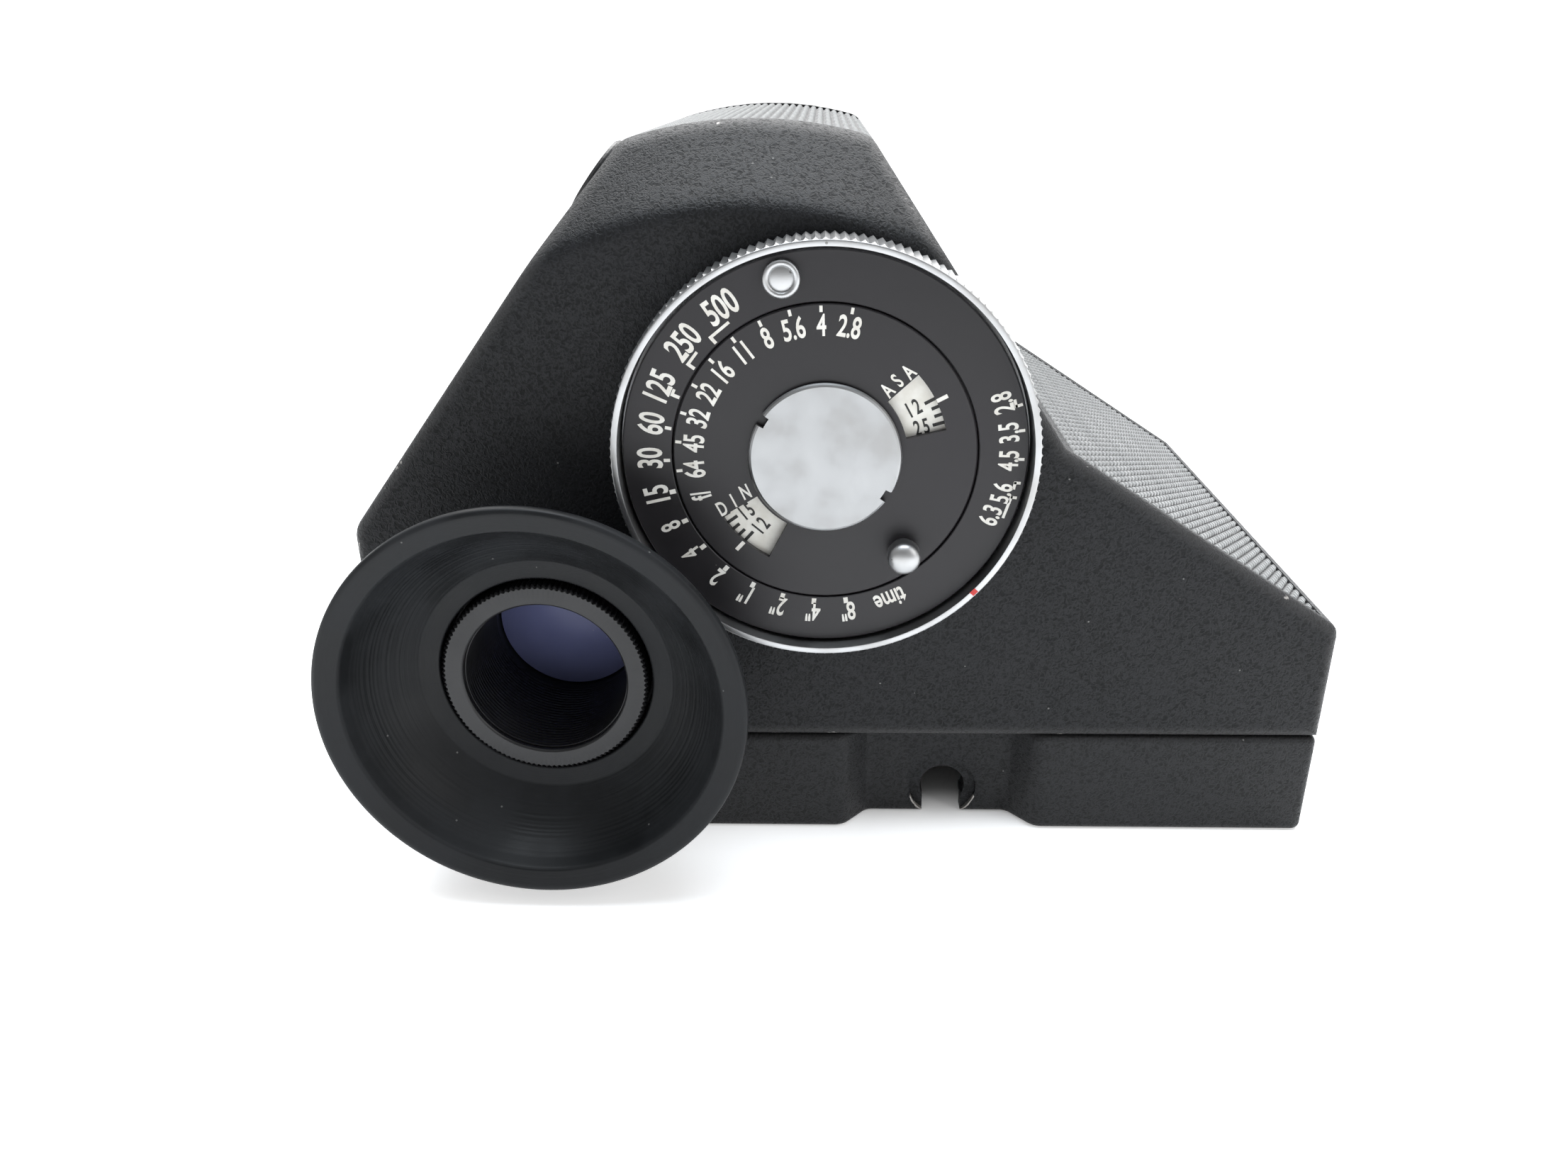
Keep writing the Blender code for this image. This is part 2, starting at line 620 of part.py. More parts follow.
def eyepiece():
    """Barrel, two lenses and spacer, retaining ring and rubber eyecup, on one axis."""
    centre = (EYE[0], 0.0, EYE[1])
    barrel = [(BARREL_R, 6.5), (BARREL_R, 2.4), (11.6, 2.4), (11.6, GAP), (BARREL_R, GAP),
              (BARREL_R, -12.0), (7.2, -12.0), (7.2, -11.6), (BARREL_BORE, -11.6), (BARREL_BORE, 6.5)]
    turned("eyepiece_barrel", barrel, centre, TOWARDS_USER, "black_anodised", 40)
    fit = BARREL_BORE - 0.15
    front = [(0.0, -EYE_LENS_Y + 0.9), (fit * 0.5, -EYE_LENS_Y + 0.65), (fit, -EYE_LENS_Y),
             (fit, -EYE_LENS_Y - 1.6), (0.0, -EYE_LENS_Y - 1.6)]
    turned("eye_lens", front, centre, TOWARDS_USER, "coated_glass", 48, closed=False)
    ring("lens_spacer", fit, fit - 0.8, -EYE_LENS_Y - 3.0, -EYE_LENS_Y - 1.75, centre, TOWARDS_USER,
         "black_anodised")
    field = [(0.0, -EYE_LENS_Y - 3.15), (fit, -EYE_LENS_Y - 3.15), (fit, -EYE_LENS_Y - 4.6),
             (fit * 0.5, -EYE_LENS_Y - 4.95), (0.0, -EYE_LENS_Y - 5.1)]
    turned("field_lens", field, centre, TOWARDS_USER, "coated_glass", 48, closed=False)
    knurl = [(8.0, 7.2), (RETAINER_R - 0.3, 7.2), (RETAINER_R, 6.9), (RETAINER_R, 4.0), (8.9, 4.0),
             (8.9, 6.7), (7.8, 6.7), (7.8, 7.0)]
    turned("retaining_ring", knurl, centre, TOWARDS_USER, "black_anodised", 48)
    turned("rubber_eyecup", eyecup_profile(), centre, TOWARDS_USER, "rubber_black", 48)


def eyecup_profile():
    """Half section of the eyecup: lip under the ring, floor, flared cone and rolled rim."""
    outer = [(17.35, 13.1), (17.6, 13.35), (19.3, 13.8), (19.7, 13.55), (CUP_RIM_R, 12.9), (19.4, 12.2),
             (17.6, 10.6), (14.9, 7.6), (13.2, 5.0), (12.6, 2.8), (12.6, 2.7)]
    hole = RETAINER_R + GAP
    inner = [(8.9, 2.7), (8.9, 3.7), (hole, 3.7), (hole, 6.5), (12.1, 6.7), (12.5, 7.0), (14.0, 8.2),
             (15.6, 9.9), (16.8, 11.8)]
    return outer + inner


# ---------------------------------------------------------------- dial
FINGER_PIN = (7.25, -9.0)    # (x, z) from the dial's axis
BUTTON = (-3.7, 15.8)
# heights of the stack towards the user, from the seat to the cap, as (low, high)
SEAT_H = (-0.5, 0.1)
TRACK_H = (0.25, 0.5)
RING_WEB_H = (1.45, 1.95)
TIME_WEB_H = (2.15, 2.4)
FILM_H = (2.6, 2.8)
APERTURE_H = (3.05, -TIME_FRONT)
CAP_H = (3.9, 4.33)
STUD_LOW = 3.75              # foot of the finger pin and of the index button
WINDOWS = {"right": (7.45, 11.05, 13.0, 42.5), "left": (7.2, 11.0, 211.0, 242.0)}
NOTCH_TURNS = (148.0, -32.0)


def sector(name, r_low, r_high, first, last):
    """A cutter for a window in the upper disc: a sector between two radii and two angles."""
    steps = 8
    turns = [math.radians(first + (last - first) * k / steps) for k in range(steps + 1)]
    points = [(r_high * math.cos(a), r_high * math.sin(a)) for a in turns]
    points += [(r_low * math.cos(a), r_low * math.sin(a)) for a in reversed(turns)]
    cutter = extruded(name, points, -8.0, -2.0, "steel", DIAL)
    return as_cutter(cutter)


def dial():
    """Seat, resistor track, knurled ring, the two upper discs, the film-speed disc and the cap."""
    centre = (DIAL[0], 0.0, DIAL[1])
    hole = SPINDLE_R + GAP
    ring("dial_seat", 17.6, hole, *SEAT_H, centre, TOWARDS_USER, "black_anodised", 40)
    ring("resistor_track", 16.0, 10.0, *TRACK_H, centre, TOWARDS_USER, "phenolic_brown", 40)
    top = APERTURE_H[1]
    spindle = [(0.0, top), (SPINDLE_R, top), (SPINDLE_R, -2.1), (5.0, -2.1), (5.0, -3.3), (0.0, -3.3)]
    turned("dial_spindle", spindle, centre, TOWARDS_USER, "brass", 32, closed=False)
    low, high = RING_WEB_H
    rim = [(RING_R - 0.25, -RING_FRONT), (RING_R, -RING_FRONT - 0.25), (RING_R, 0.5), (18.2, 0.5),
           (18.2, low), (hole, low), (hole, high), (RING_INNER_R, high), (RING_INNER_R, -RING_FRONT)]
    turned("knurled_ring", rim, centre, TOWARDS_USER, "satin_chrome", 64)
    box("wiper", (1.6, 0.5, 7.0), (DIAL[0], -0.95, DIAL[1] + 13.0), "brass")
    low, high = TIME_WEB_H
    well = APERTURE_R + 0.25
    disc = [(TIME_R, top), (TIME_R, low), (hole, low), (hole, high), (well, high), (well, top)]
    turned("time_disc", disc, centre, TOWARDS_USER, "dial_black", 56)
    ring("film_speed_disc", APERTURE_R - 0.2, hole, *FILM_H, centre, TOWARDS_USER, "scale_white", 40)
    upper = ring("aperture_disc", APERTURE_R, hole, *APERTURE_H, centre, TOWARDS_USER, "dial_black", 56)
    for side, window in WINDOWS.items():
        boolean(upper, sector("window_cutter_" + side, *window))
    low, high = CAP_H
    lid = [(0.0, high), (CAP_R - 0.25, high), (CAP_R, high - 0.2), (CAP_R, low), (0.0, low)]
    cap = turned("centre_cap", lid, centre, TOWARDS_USER, "satin_chrome", 64, closed=False)
    for number, angle in enumerate(NOTCH_TURNS, 1):
        turn = math.radians(angle)
        at = (DIAL[0] + CAP_R * math.cos(turn), -sum(CAP_H) / 2, DIAL[1] + CAP_R * math.sin(turn))
        notch = box(f"cap_notch_{number}", (1.5, 4.0, 1.0), at, "steel", Matrix.Rotation(-turn, 4, "Y"))
        boolean(cap, as_cutter(notch))
    pin_at = (DIAL[0] + FINGER_PIN[0], 0.0, DIAL[1] + FINGER_PIN[1])
    pin = [(0.0, 6.6), (0.75, 6.45), (1.3, 6.05), (1.5, 5.5), (1.5, 4.5), (1.2, 4.3), (1.2, STUD_LOW),
           (0.0, STUD_LOW)]
    turned("finger_pin", pin, pin_at, TOWARDS_USER, "satin_chrome", 24, closed=False)
    button_at = (DIAL[0] + BUTTON[0], 0.0, DIAL[1] + BUTTON[1])
    button = [(0.0, 4.1), (0.6, 4.15), (1.05, 4.4), (1.4, 4.4), (1.65, 4.15), (1.65, STUD_LOW),
              (0.0, STUD_LOW)]
    turned("index_button", button, button_at, TOWARDS_USER, "satin_chrome", 24, closed=False)


# ---------------------------------------------------------------- meter, cell and battery
METER = (-12.5, 61.6)        # (x, z) of the moving coil's axis


def meter():
    """Moving-coil meter under the ridge, its needle lying across the finder's view."""
    ring("meter_magnet", 5.2, 3.3, 22.0, 30.0, (METER[0], 0.0, METER[1]), (0, 1, 0), "magnet_grey", 32)
    rod("meter_coil", 2.6, 9.0, (METER[0], 25.5, METER[1]), (0, 1, 0), "brass", 20)
    plate = box("meter_bridge", (9.6, 1.2, 7.6), (METER[0], 31.0, METER[1]), "brass")
    bevel(plate, 0.4, 1)
    needle_z = METER[1]
    box("meter_needle", (15.5, 0.5, 0.6), (METER[0] - 6.2, 20.0, needle_z), "needle_red")


def switch_and_cell():
    """Knob on the left slope, and the arm inside that it swings with the photocell on its end."""
    x, z = on_left(KNOB_ALONG, 0.0)
    out = (OUT_L[0], 0, OUT_L[1])
    knob = [(0.0, 2.9), (4.6, 2.9), (4.9, 2.6), (4.9, 0.5), (1.5, 0.5), (1.5, -7.4), (0.0, -7.4)]
    turned("switch_knob", knob, (x, KNOB_Y, z), out, "black_anodised", 40, closed=False)
    depths = (7.7, 8.5)
    arm_mid = on_left(KNOB_ALONG, sum(depths) / 2)
    arm = box("cell_arm", (4.0, 16.0, depths[1] - depths[0]), (arm_mid[0], KNOB_Y + 6.0, arm_mid[1]),
              "brass", slope_turn(SLOPE_L))
    bevel(arm, 0.25, 1)
    at = on_left(KNOB_ALONG, depths[1] + GAP + 1.0)
    rod("photocell", 3.2, 2.0, (at[0], KNOB_Y + 10.2, at[1]), out, "phenolic_brown", 28)


def battery():
    """Chamber, button cell, contact spring and slotted cap, on an axis through the left wall."""
    axis = (-1, 0, 0)
    centre = (BODY_LEFT, *BATTERY)
    chamber = [(0.0, -9.4), (8.1, -9.4), (8.1, -2.1), (9.0, -2.1), (9.0, -10.4), (0.0, -10.4)]
    turned("battery_chamber", chamber, centre, axis, "moulding_black", 40, closed=False)
    cell = [(0.0, -1.95), (6.2, -1.95), (6.2, -2.6), (7.5, -2.6), (7.8, -2.9), (7.8, -7.6),
            (7.5, -7.9), (0.0, -7.9)]
    turned("button_cell", cell, centre, axis, "steel", 40, closed=False)
    coil_r, turns, steps = 4.2, 2.0, 26
    points = []
    for k in range(steps + 1):
        angle = math.tau * turns * k / steps
        points.append((BODY_LEFT + 8.3 + 0.7 * k / steps, BATTERY[0] + coil_r * math.cos(angle),
                       BATTERY[1] + coil_r * math.sin(angle)))
    wire("contact_spring", points, 0.22, "steel")
    cap = [(0.0, 0.0), (CAP_HOLE - 0.7, 0.0), (CAP_HOLE - 0.3, -0.4), (CAP_HOLE - 0.3, -1.6), (0.0, -1.6)]
    lid = turned("battery_cap", cap, centre, axis, "satin_chrome", 48, closed=False)
    slot = box("coin_slot_cutter", (1.6, 12.0, 1.6), centre, "steel")
    boolean(lid, as_cutter(slot))


def wires():
    """The two leads from the battery chamber up behind the mirrors to the meter."""
    knots = [(-46.6, 50.0, 24.0), (-45.6, 55.0, 27.0), (-40.0, 56.6, 38.0), (-31.0, 56.6, 50.0),
             (-21.0, 56.6, 58.0), (-15.0, 52.0, 61.5), (-13.6, 42.0, 61.8), (-13.2, 32.6, 61.8)]
    for name, shift, mat in (("wire_positive", 0.0, "wire_red"), ("wire_negative", 1.4, "wire_black")):
        moved = [(x + shift, y, z - shift) for x, y, z in knots]
        wire(name, smooth_path(moved, 26), 0.5, mat)


def joint_empties():
    """Empties on the joint axes; each moving piece hangs from its own."""
    dial_at = (DIAL[0], 0.0, DIAL[1])
    switch_at = on_left(KNOB_ALONG, 0.0)
    axes = {
        "dial_axis": (dial_at, ("knurled_ring", "wiper", "time_disc", "film_speed_disc", "index_button",
                                "aperture_disc", "finger_pin")),
        "meter_axis": ((METER[0], 25.0, METER[1]), ("meter_coil", "meter_needle")),
        "switch_axis": ((switch_at[0], KNOB_Y, switch_at[1]), ("switch_knob", "cell_arm", "photocell")),
        "battery_axis": ((BODY_LEFT, *BATTERY), ("battery_cap",)),
        "eyepiece_axis": ((EYE[0], 0.0, EYE[1]), ("retaining_ring",)),
    }
    for name, (place, moving) in axes.items():
        empty = bpy.data.objects.new(name, None)
        empty.location = spot(*place)
        empty.empty_display_size = 0.01
        PARTS.objects.link(empty)
        for piece in moving:
            child = bpy.data.objects[piece]
            child.parent = empty
            child.matrix_parent_inverse = Matrix.Translation(-empty.location)


housing_shell()
coverings()
front_cover()
base_frame()
mirrors()
eyepiece()
dial()
meter()
switch_and_cell()
battery()
wires()
joint_empties()
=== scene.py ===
# %% [markdown]
# # A metering mirror finder
# This finder drops onto a twin-lens reflex camera. Three mirrors fold the view from the
# focusing screen to the eyepiece, and a dial on the rear face turns a meter reading into an
# exposure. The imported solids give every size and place. This script makes the fine surfaces:
# the enamel casting with its soft edges, the rope-ribbed covering, the knurls, the figures
# and the moulded eyecup, each in its own finish.

# %% Load the frame
import math

import bmesh
import bpy
import numpy as np
from mathutils import Matrix, Vector


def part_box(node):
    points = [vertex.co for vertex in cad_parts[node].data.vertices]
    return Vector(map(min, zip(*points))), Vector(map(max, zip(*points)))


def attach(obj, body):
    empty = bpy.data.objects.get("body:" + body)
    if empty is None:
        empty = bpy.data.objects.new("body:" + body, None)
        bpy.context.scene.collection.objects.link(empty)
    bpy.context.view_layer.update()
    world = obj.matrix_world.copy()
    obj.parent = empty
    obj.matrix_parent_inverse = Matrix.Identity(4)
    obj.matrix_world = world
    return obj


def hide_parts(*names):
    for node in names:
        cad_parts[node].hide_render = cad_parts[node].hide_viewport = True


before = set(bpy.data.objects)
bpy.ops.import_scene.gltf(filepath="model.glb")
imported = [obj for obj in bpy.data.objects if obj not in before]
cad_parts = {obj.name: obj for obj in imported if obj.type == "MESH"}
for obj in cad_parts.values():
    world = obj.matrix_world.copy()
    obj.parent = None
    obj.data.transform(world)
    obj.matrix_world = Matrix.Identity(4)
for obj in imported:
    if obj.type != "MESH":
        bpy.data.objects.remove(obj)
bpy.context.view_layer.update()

# %% [markdown]
# The pieces are drawn in the maker's own frame: millimetres, x from the middle of the base
# block, y from the rear face, z up. One function moves points to the world's metres, and the
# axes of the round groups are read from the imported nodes.

# %% Units and axes
MM = 0.001
GAP = 0.3
base_low, base_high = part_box("base_frame")
ORIGIN = np.array([(base_low.x + base_high.x) / 2, base_low.y, 0.0])


def to_world(points):
    """Millimetres in the maker's frame become metres in the world."""
    return ORIGIN + np.asarray(points, float) * MM


def node_box(node):
    """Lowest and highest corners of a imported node, in the maker's millimetres."""
    low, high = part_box(node)
    return (np.array(low) - ORIGIN) / MM, (np.array(high) - ORIGIN) / MM


def axis_point(node, y=0.0):
    """The place of a round node's axis on the rear face."""
    low, high = node_box(node)
    middle = (low + high) / 2
    return np.array([middle[0], y, middle[2]])


NOTCH_DEPTH = 3.0
KEYHOLE, KEYHOLE_R = (0.4, NOTCH_DEPTH, 3.25), (3.6, 2.4)
DIAL = axis_point("knurled_ring")
EYE = axis_point("eyepiece_barrel")
TOWARDS_USER = (0.0, -1.0, 0.0)
print("dial axis:", DIAL.round(2), " eyepiece axis:", EYE.round(2))

# %% [markdown]
# ## Camera, floor and light
# The view is from just above the eyepiece, close in, with a wide lens. The floor is a pale
# sweep that curves up far behind, so no horizon shows. One large soft panel hangs overhead
# and the pale surroundings, darker on the viewer's side, fill the rest, as on a light table by a window.

# %% Camera
CAMERA_PLACE = (-12.6, -103.85, 74.67)
YAW, PITCH, ROLL = 2.074, 65.918, -0.787
FOCAL, SENSOR = 26.69, 36.0

camera_data = bpy.data.cameras.new("finder_view")
camera_data.lens = FOCAL
camera_data.sensor_width = SENSOR
camera_data.sensor_fit = "HORIZONTAL"
camera_data.clip_start = 0.005
camera = bpy.data.objects.new("finder_view", camera_data)
bpy.context.scene.collection.objects.link(camera)
camera.matrix_world = (Matrix.Translation(Vector(to_world(CAMERA_PLACE)))
                       @ Matrix.Rotation(math.radians(YAW), 4, "Z")
                       @ Matrix.Rotation(math.radians(PITCH), 4, "X")
                       @ Matrix.Rotation(math.radians(ROLL), 4, "Z"))
bpy.context.scene.camera = camera
print("camera at", tuple(round(c, 4) for c in camera.location))

# %% [markdown]
# ## Surfaces from arrays
# Every new piece is a grid of points worked out at once. A turned piece carries a profile
# round an axis, a plate is a grid in radius and angle, and a covering is a grid along and
# across a slope. One function joins neighbouring points with four-sided faces, and another
# closes the poles, turns the faces outwards and puts the mesh into the scene.

# %% Grids, closing and orientation
def grid_faces(rows, columns, wrap_rows=False, wrap_columns=False):
    """Faces between neighbours: (r, c), (r, c+1), (r+1, c+1), (r+1, c), wrapping where asked."""
    r = np.arange(rows if wrap_rows else rows - 1)[:, None]
    c = np.arange(columns if wrap_columns else columns - 1)[None, :]
    below, right = (r + 1) % rows, (c + 1) % columns
    corners = (r * columns + c, r * columns + right, below * columns + right, below * columns + c)
    return np.stack(np.broadcast_arrays(*corners), axis=-1).reshape(-1, 4)


def closed_mesh(name, points, faces, weld=1e-7):
    """A mesh in the world frame from millimetre points. Faces are an array of numbers, or a list of
    such arrays, one for each number of sides. Unused points go, poles close and faces turn out."""
    groups = [np.asarray(group) for group in (faces if isinstance(faces, list) else [faces])]
    sides = np.concatenate([np.full(len(group), group.shape[1]) for group in groups])
    used, flat = np.unique(np.concatenate([group.ravel() for group in groups]), return_inverse=True)
    points = to_world(np.asarray(points).reshape(-1, 3)[used])
    mesh = bpy.data.meshes.new(name)
    mesh.vertices.add(len(points))
    mesh.vertices.foreach_set("co", points.astype(np.float32).ravel())
    mesh.loops.add(len(flat))
    mesh.loops.foreach_set("vertex_index", flat.ravel())
    mesh.polygons.add(len(sides))
    mesh.polygons.foreach_set("loop_start", np.cumsum(sides) - sides)
    mesh.update(calc_edges=True)
    bm = bmesh.new()
    bm.from_mesh(mesh)
    bmesh.ops.remove_doubles(bm, verts=bm.verts, dist=weld)
    if bm.calc_volume(signed=True) < 0:
        bmesh.ops.reverse_faces(bm, faces=bm.faces)
    bm.to_mesh(mesh)
    bm.free()
    return mesh


def place_piece(name, mesh, slot, body, nodes=(), sharp=35.0, finish=None):
    """Puts a mesh in the scene as a smooth piece that rides on a body, in its slot's finish unless
    another is named."""
    mesh.shade_smooth()
    mesh.set_sharp_from_angle(angle=math.radians(sharp))
    piece = bpy.data.objects.new(name, mesh)
    bpy.context.scene.collection.objects.link(piece)
    mesh.materials.clear()
    mesh.materials.append(FINISHES[finish or slot])
    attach(piece, body)
    if nodes:
        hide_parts(*nodes)
    sides = np.empty(len(mesh.loops), int)
    mesh.loops.foreach_get("edge_index", sides)
    odd = int((np.bincount(sides, minlength=len(mesh.edges)) != 2).sum())
    print(f"{name}: {len(mesh.polygons)} faces, {odd} open edges")
    return piece


def new_piece(name, points, faces, slot, body, nodes=(), sharp=35.0, finish=None, weld=1e-7):
    """A closed piece straight from millimetre points and faces."""
    return place_piece(name, closed_mesh(name, points, faces, weld), slot, body, nodes, sharp, finish)


def carved(name, mesh, cutters, operation="DIFFERENCE"):
    """The mesh less every cutter mesh, by Boolean modifiers that are applied at once."""
    block = bpy.data.objects.new(name, mesh)
    bpy.context.scene.collection.objects.link(block)
    tools = []
    for cutter in cutters:
        tool = bpy.data.objects.new(name + "_cutter", cutter)
        bpy.context.scene.collection.objects.link(tool)
        tools.append(tool)
        cut = block.modifiers.new("cut", "BOOLEAN")
        cut.operation, cut.solver, cut.object = operation, "MANIFOLD", tool
    bpy.context.view_layer.update()
    result = bpy.data.meshes.new_from_object(block.evaluated_get(bpy.context.evaluated_depsgraph_get()))
    for used in (block, *tools):
        old = used.data
        bpy.data.objects.remove(used)
        bpy.data.meshes.remove(old)
    result.name = name
    return result


def soften(points, reach, steps=5, closed=True):
    """Rounds each corner P of an outline with the curve (1-t)^2 A + 2t(1-t) P + t^2 B, where A
    and B lie a reach back along the two sides, or just under half of a shorter side."""
    here = np.asarray(points, float)
    before, after = np.roll(here, 1, axis=0) - here, np.roll(here, -1, axis=0) - here
    size_b = np.linalg.norm(before, axis=1, keepdims=True)
    size_a = np.linalg.norm(after, axis=1, keepdims=True)
    reach = np.broadcast_to(np.asarray(reach, float).reshape(-1, 1), size_b.shape)
    start = here + before / size_b * np.minimum(reach, 0.48 * size_b)
    end = here + after / size_a * np.minimum(reach, 0.48 * size_a)
    t = np.linspace(0.0, 1.0, steps)[None, :, None]
    bent = (1 - t) ** 2 * start[:, None] + 2 * t * (1 - t) * here[:, None] + t ** 2 * end[:, None]
    if closed:
        return bent.reshape(-1, 2)
    return np.vstack([here[:1], bent[1:-1].reshape(-1, 2), here[-1:]])


def fine(points, step):
    """Adds even points along every side of a profile, no further apart than a step."""
    points = np.asarray(points, float)
    sides = np.linalg.norm(np.diff(points, axis=0), axis=1)
    lengths = np.concatenate([[0.0], np.cumsum(sides)])
    extra = np.arange(0.0, lengths[-1], step)
    where = np.unique(np.concatenate([lengths, extra]).round(6))
    return np.stack([np.interp(where, lengths, points[:, k]) for k in (0, 1)], axis=1)


def across(axis):
    """Two unit directions square to an axis; for the user's axis they are +x and +z."""
    axis = np.asarray(axis, float)
    first = np.array([1.0, 0.0, 0.0]) if abs(axis[0]) < 0.5 else np.array([0.0, 1.0, 0.0])
    first = first - axis * (first @ axis)
    first /= np.linalg.norm(first)
    return first, np.cross(first, axis)


def turned(profile, centre, axis, steps, ripple=None, closed=True):
    """A turned surface: row k, column j is centre + r (cos a e1 + sin a e2) + h axis, with (r, h)
    the profile's point k, a = 2 pi j / steps, and r moved by ripple(a, r, h)."""
    profile = np.asarray(profile, float)
    radius, height = profile[:, :1], profile[:, 1:]
    angle = np.arange(steps)[None, :] * math.tau / steps
    if ripple is not None:
        radius = radius + ripple(angle, radius, height)
    radius = np.broadcast_to(radius, (len(profile), steps))
    first, second = across(axis)
    flat = np.cos(angle)[..., None] * first + np.sin(angle)[..., None] * second
    points = np.asarray(centre) + radius[..., None] * flat + (height * np.ones_like(angle))[..., None] * axis
    return points, grid_faces(len(profile), steps, wrap_rows=closed, wrap_columns=True)


def step_up(value, low, high):
    """0 under low, 1 over high, and the smooth cubic 3t^2 - 2t^3 between."""
    t = np.clip((value - low) / (high - low), 0.0, 1.0)
    return t * t * (3 - 2 * t)


def teeth(count, depth, low, high):
    """A knurl: the radius falls by depth times a triangle wave of that many teeth, fading in
    between two radii so that the faces beside the knurl stay round."""
    def ripple(angle, radius, height):
        wave = np.abs((angle * count / math.tau) % 1.0 * 2 - 1)
        return -depth * wave * step_up(radius, low, high)
    return ripple


# %% [markdown]
# ## Finishes
# Wear, wrinkles, dust and turned lines show on many materials, so each is a node group with
# its own inputs, built once. A group gives only heights, masks or values, and the shader
# stays in the material. The helpers keep the node code short: a keyword names the socket and
# holds either a number or the socket to link from.

# %% Node helpers
def socket_of(sockets, key):
    """A socket by name, where an underscore stands for a space, or by number as in n0."""
    return sockets[int(key[1:])] if key[0] == "n" and key[1:].isdigit() else sockets[key.replace("_", " ")]


def add_node(tree, kind, settings=None, **links):
    """A shader node with its settings, and its inputs set or linked."""
    made = tree.nodes.new("ShaderNode" + kind)
    for key, value in (settings or {}).items():
        setattr(made, key, value)
    for key, value in links.items():
        target = socket_of(made.inputs, key)
        if isinstance(value, bpy.types.NodeSocket):
            tree.links.new(value, target)
        else:
            target.default_value = value
    return made


def maths(tree, operation, first, second=0.0, clamp=False):
    """The output of one Math node."""
    settings = {"operation": operation, "use_clamp": clamp}
    return add_node(tree, "Math", settings, n0=first, n1=second).outputs[0]


def remap(tree, value, low, high, to_low=0.0, to_high=1.0):
    """A value moved from one range to another, smoothly and clamped."""
    return add_node(tree, "MapRange", {"interpolation_type": "SMOOTHSTEP"}, Value=value, From_Min=low,
                    From_Max=high, To_Min=to_low, To_Max=to_high).outputs[0]


def mix_colour(tree, factor, first, second):
    """One colour laid over another by a factor."""
    made = add_node(tree, "Mix", {"data_type": "RGBA"}, n0=factor)
    for key, value in ((6, first), (7, second)):
        if isinstance(value, bpy.types.NodeSocket):
            tree.links.new(value, made.inputs[key])
        else:
            made.inputs[key].default_value = (*value, 1.0)
    return made.outputs[2]


def new_group(name, inputs, outputs):
    """An empty shader group: (name, default) for each number in, or None for a vector."""
    group = bpy.data.node_groups.new(name, "ShaderNodeTree")
    for label, default in inputs:
        kind = "NodeSocketVector" if default is None else "NodeSocketFloat"
        socket = group.interface.new_socket(name=label, in_out="INPUT", socket_type=kind)
        if default is not None:
            socket.default_value = default
    for label in outputs:
        group.interface.new_socket(name=label, in_out="OUTPUT", socket_type="NodeSocketFloat")
    return group, group.nodes.new("NodeGroupInput"), group.nodes.new("NodeGroupOutput")


def use_group(tree, group, **links):
    """A group placed in a material, with its inputs set or linked."""
    made = tree.nodes.new("ShaderNodeGroup")
    made.node_tree = group
    for key, value in links.items():
        target = made.inputs[key.replace("_", " ")]
        if isinstance(value, bpy.types.NodeSocket):
            tree.links.new(value, target)
        else:
            target.default_value = value
    return made.outputs


# %% [markdown]
# Crinkle enamel wrinkles as it bakes: rounded ridges that wander and meet, with narrow
# valleys between. Two layers of noise folded about their middle give ridges of that kind.

# %% Group: wrinkles
def build_wrinkles():
    """Height = 1 - |2n - 1| for noise n, a coarse layer plus a finer one; Crest is its top part."""
    group, given, result = new_group("wrinkles", (("Vector", None), ("Spacing", 0.8), ("Fineness", 2.3)),
                                     ("Height", "Crest"))
    scale = maths(group, "DIVIDE", 1000.0, given.outputs["Spacing"])
    layers = []
    for factor in (1.0, given.outputs["Fineness"]):
        size = maths(group, "MULTIPLY", scale, factor)
        noise = add_node(group, "TexNoise", {"noise_dimensions": "3D"}, Vector=given.outputs["Vector"],
                         Scale=size, Detail=1.5, Roughness=0.5, Distortion=0.6)
        centred = maths(group, "MULTIPLY_ADD", noise.outputs[0], 2.0)
        centred.node.inputs[2].default_value = -1.0
        folded = maths(group, "ABSOLUTE", maths(group, "MULTIPLY", centred, 2.2))
        layers.append(maths(group, "SUBTRACT", 1.0, folded, True))
    small = maths(group, "MULTIPLY", layers[1], 0.45)
    height = maths(group, "ADD", layers[0], small)
    group.links.new(height, result.inputs["Height"])
    group.links.new(remap(group, height, 0.7, 1.4), result.inputs["Crest"])
    return group


WRINKLES = build_wrinkles()


# %% [markdown]
# Dust lies as separate pale grains. A Voronoi pattern gives each cell a centre and a random
# colour: a grain is drawn near the centre, and only in the cells whose random value is low.

# %% Group: dust
def build_dust():
    """Mask = 1 where the distance to a cell's centre is under Size, in a Share of the cells."""
    inputs = (("Vector", None), ("Spacing", 2.0), ("Size", 0.12), ("Share", 0.3))
    group, given, result = new_group("dust", inputs, ("Mask",))
    cells = add_node(group, "TexVoronoi", {"feature": "F1"}, Vector=given.outputs["Vector"],
                     Scale=maths(group, "DIVIDE", 1000.0, given.outputs["Spacing"]), Randomness=1.0)
    near = maths(group, "LESS_THAN", cells.outputs["Distance"], given.outputs["Size"])
    chance = add_node(group, "SeparateColor", n0=cells.outputs["Color"]).outputs[0]
    kept = maths(group, "LESS_THAN", chance, given.outputs["Share"])
    group.links.new(maths(group, "MULTIPLY", near, kept), result.inputs["Mask"])
    return group


DUST = build_dust()


# %% [markdown]
# Turned metal keeps the tool's path as fine rings round its axis. Noise in one dimension,
# read from the distance to the axis, makes rings that never cross. The second output is a
# slow blotchy value for handling marks, which varies the gloss.

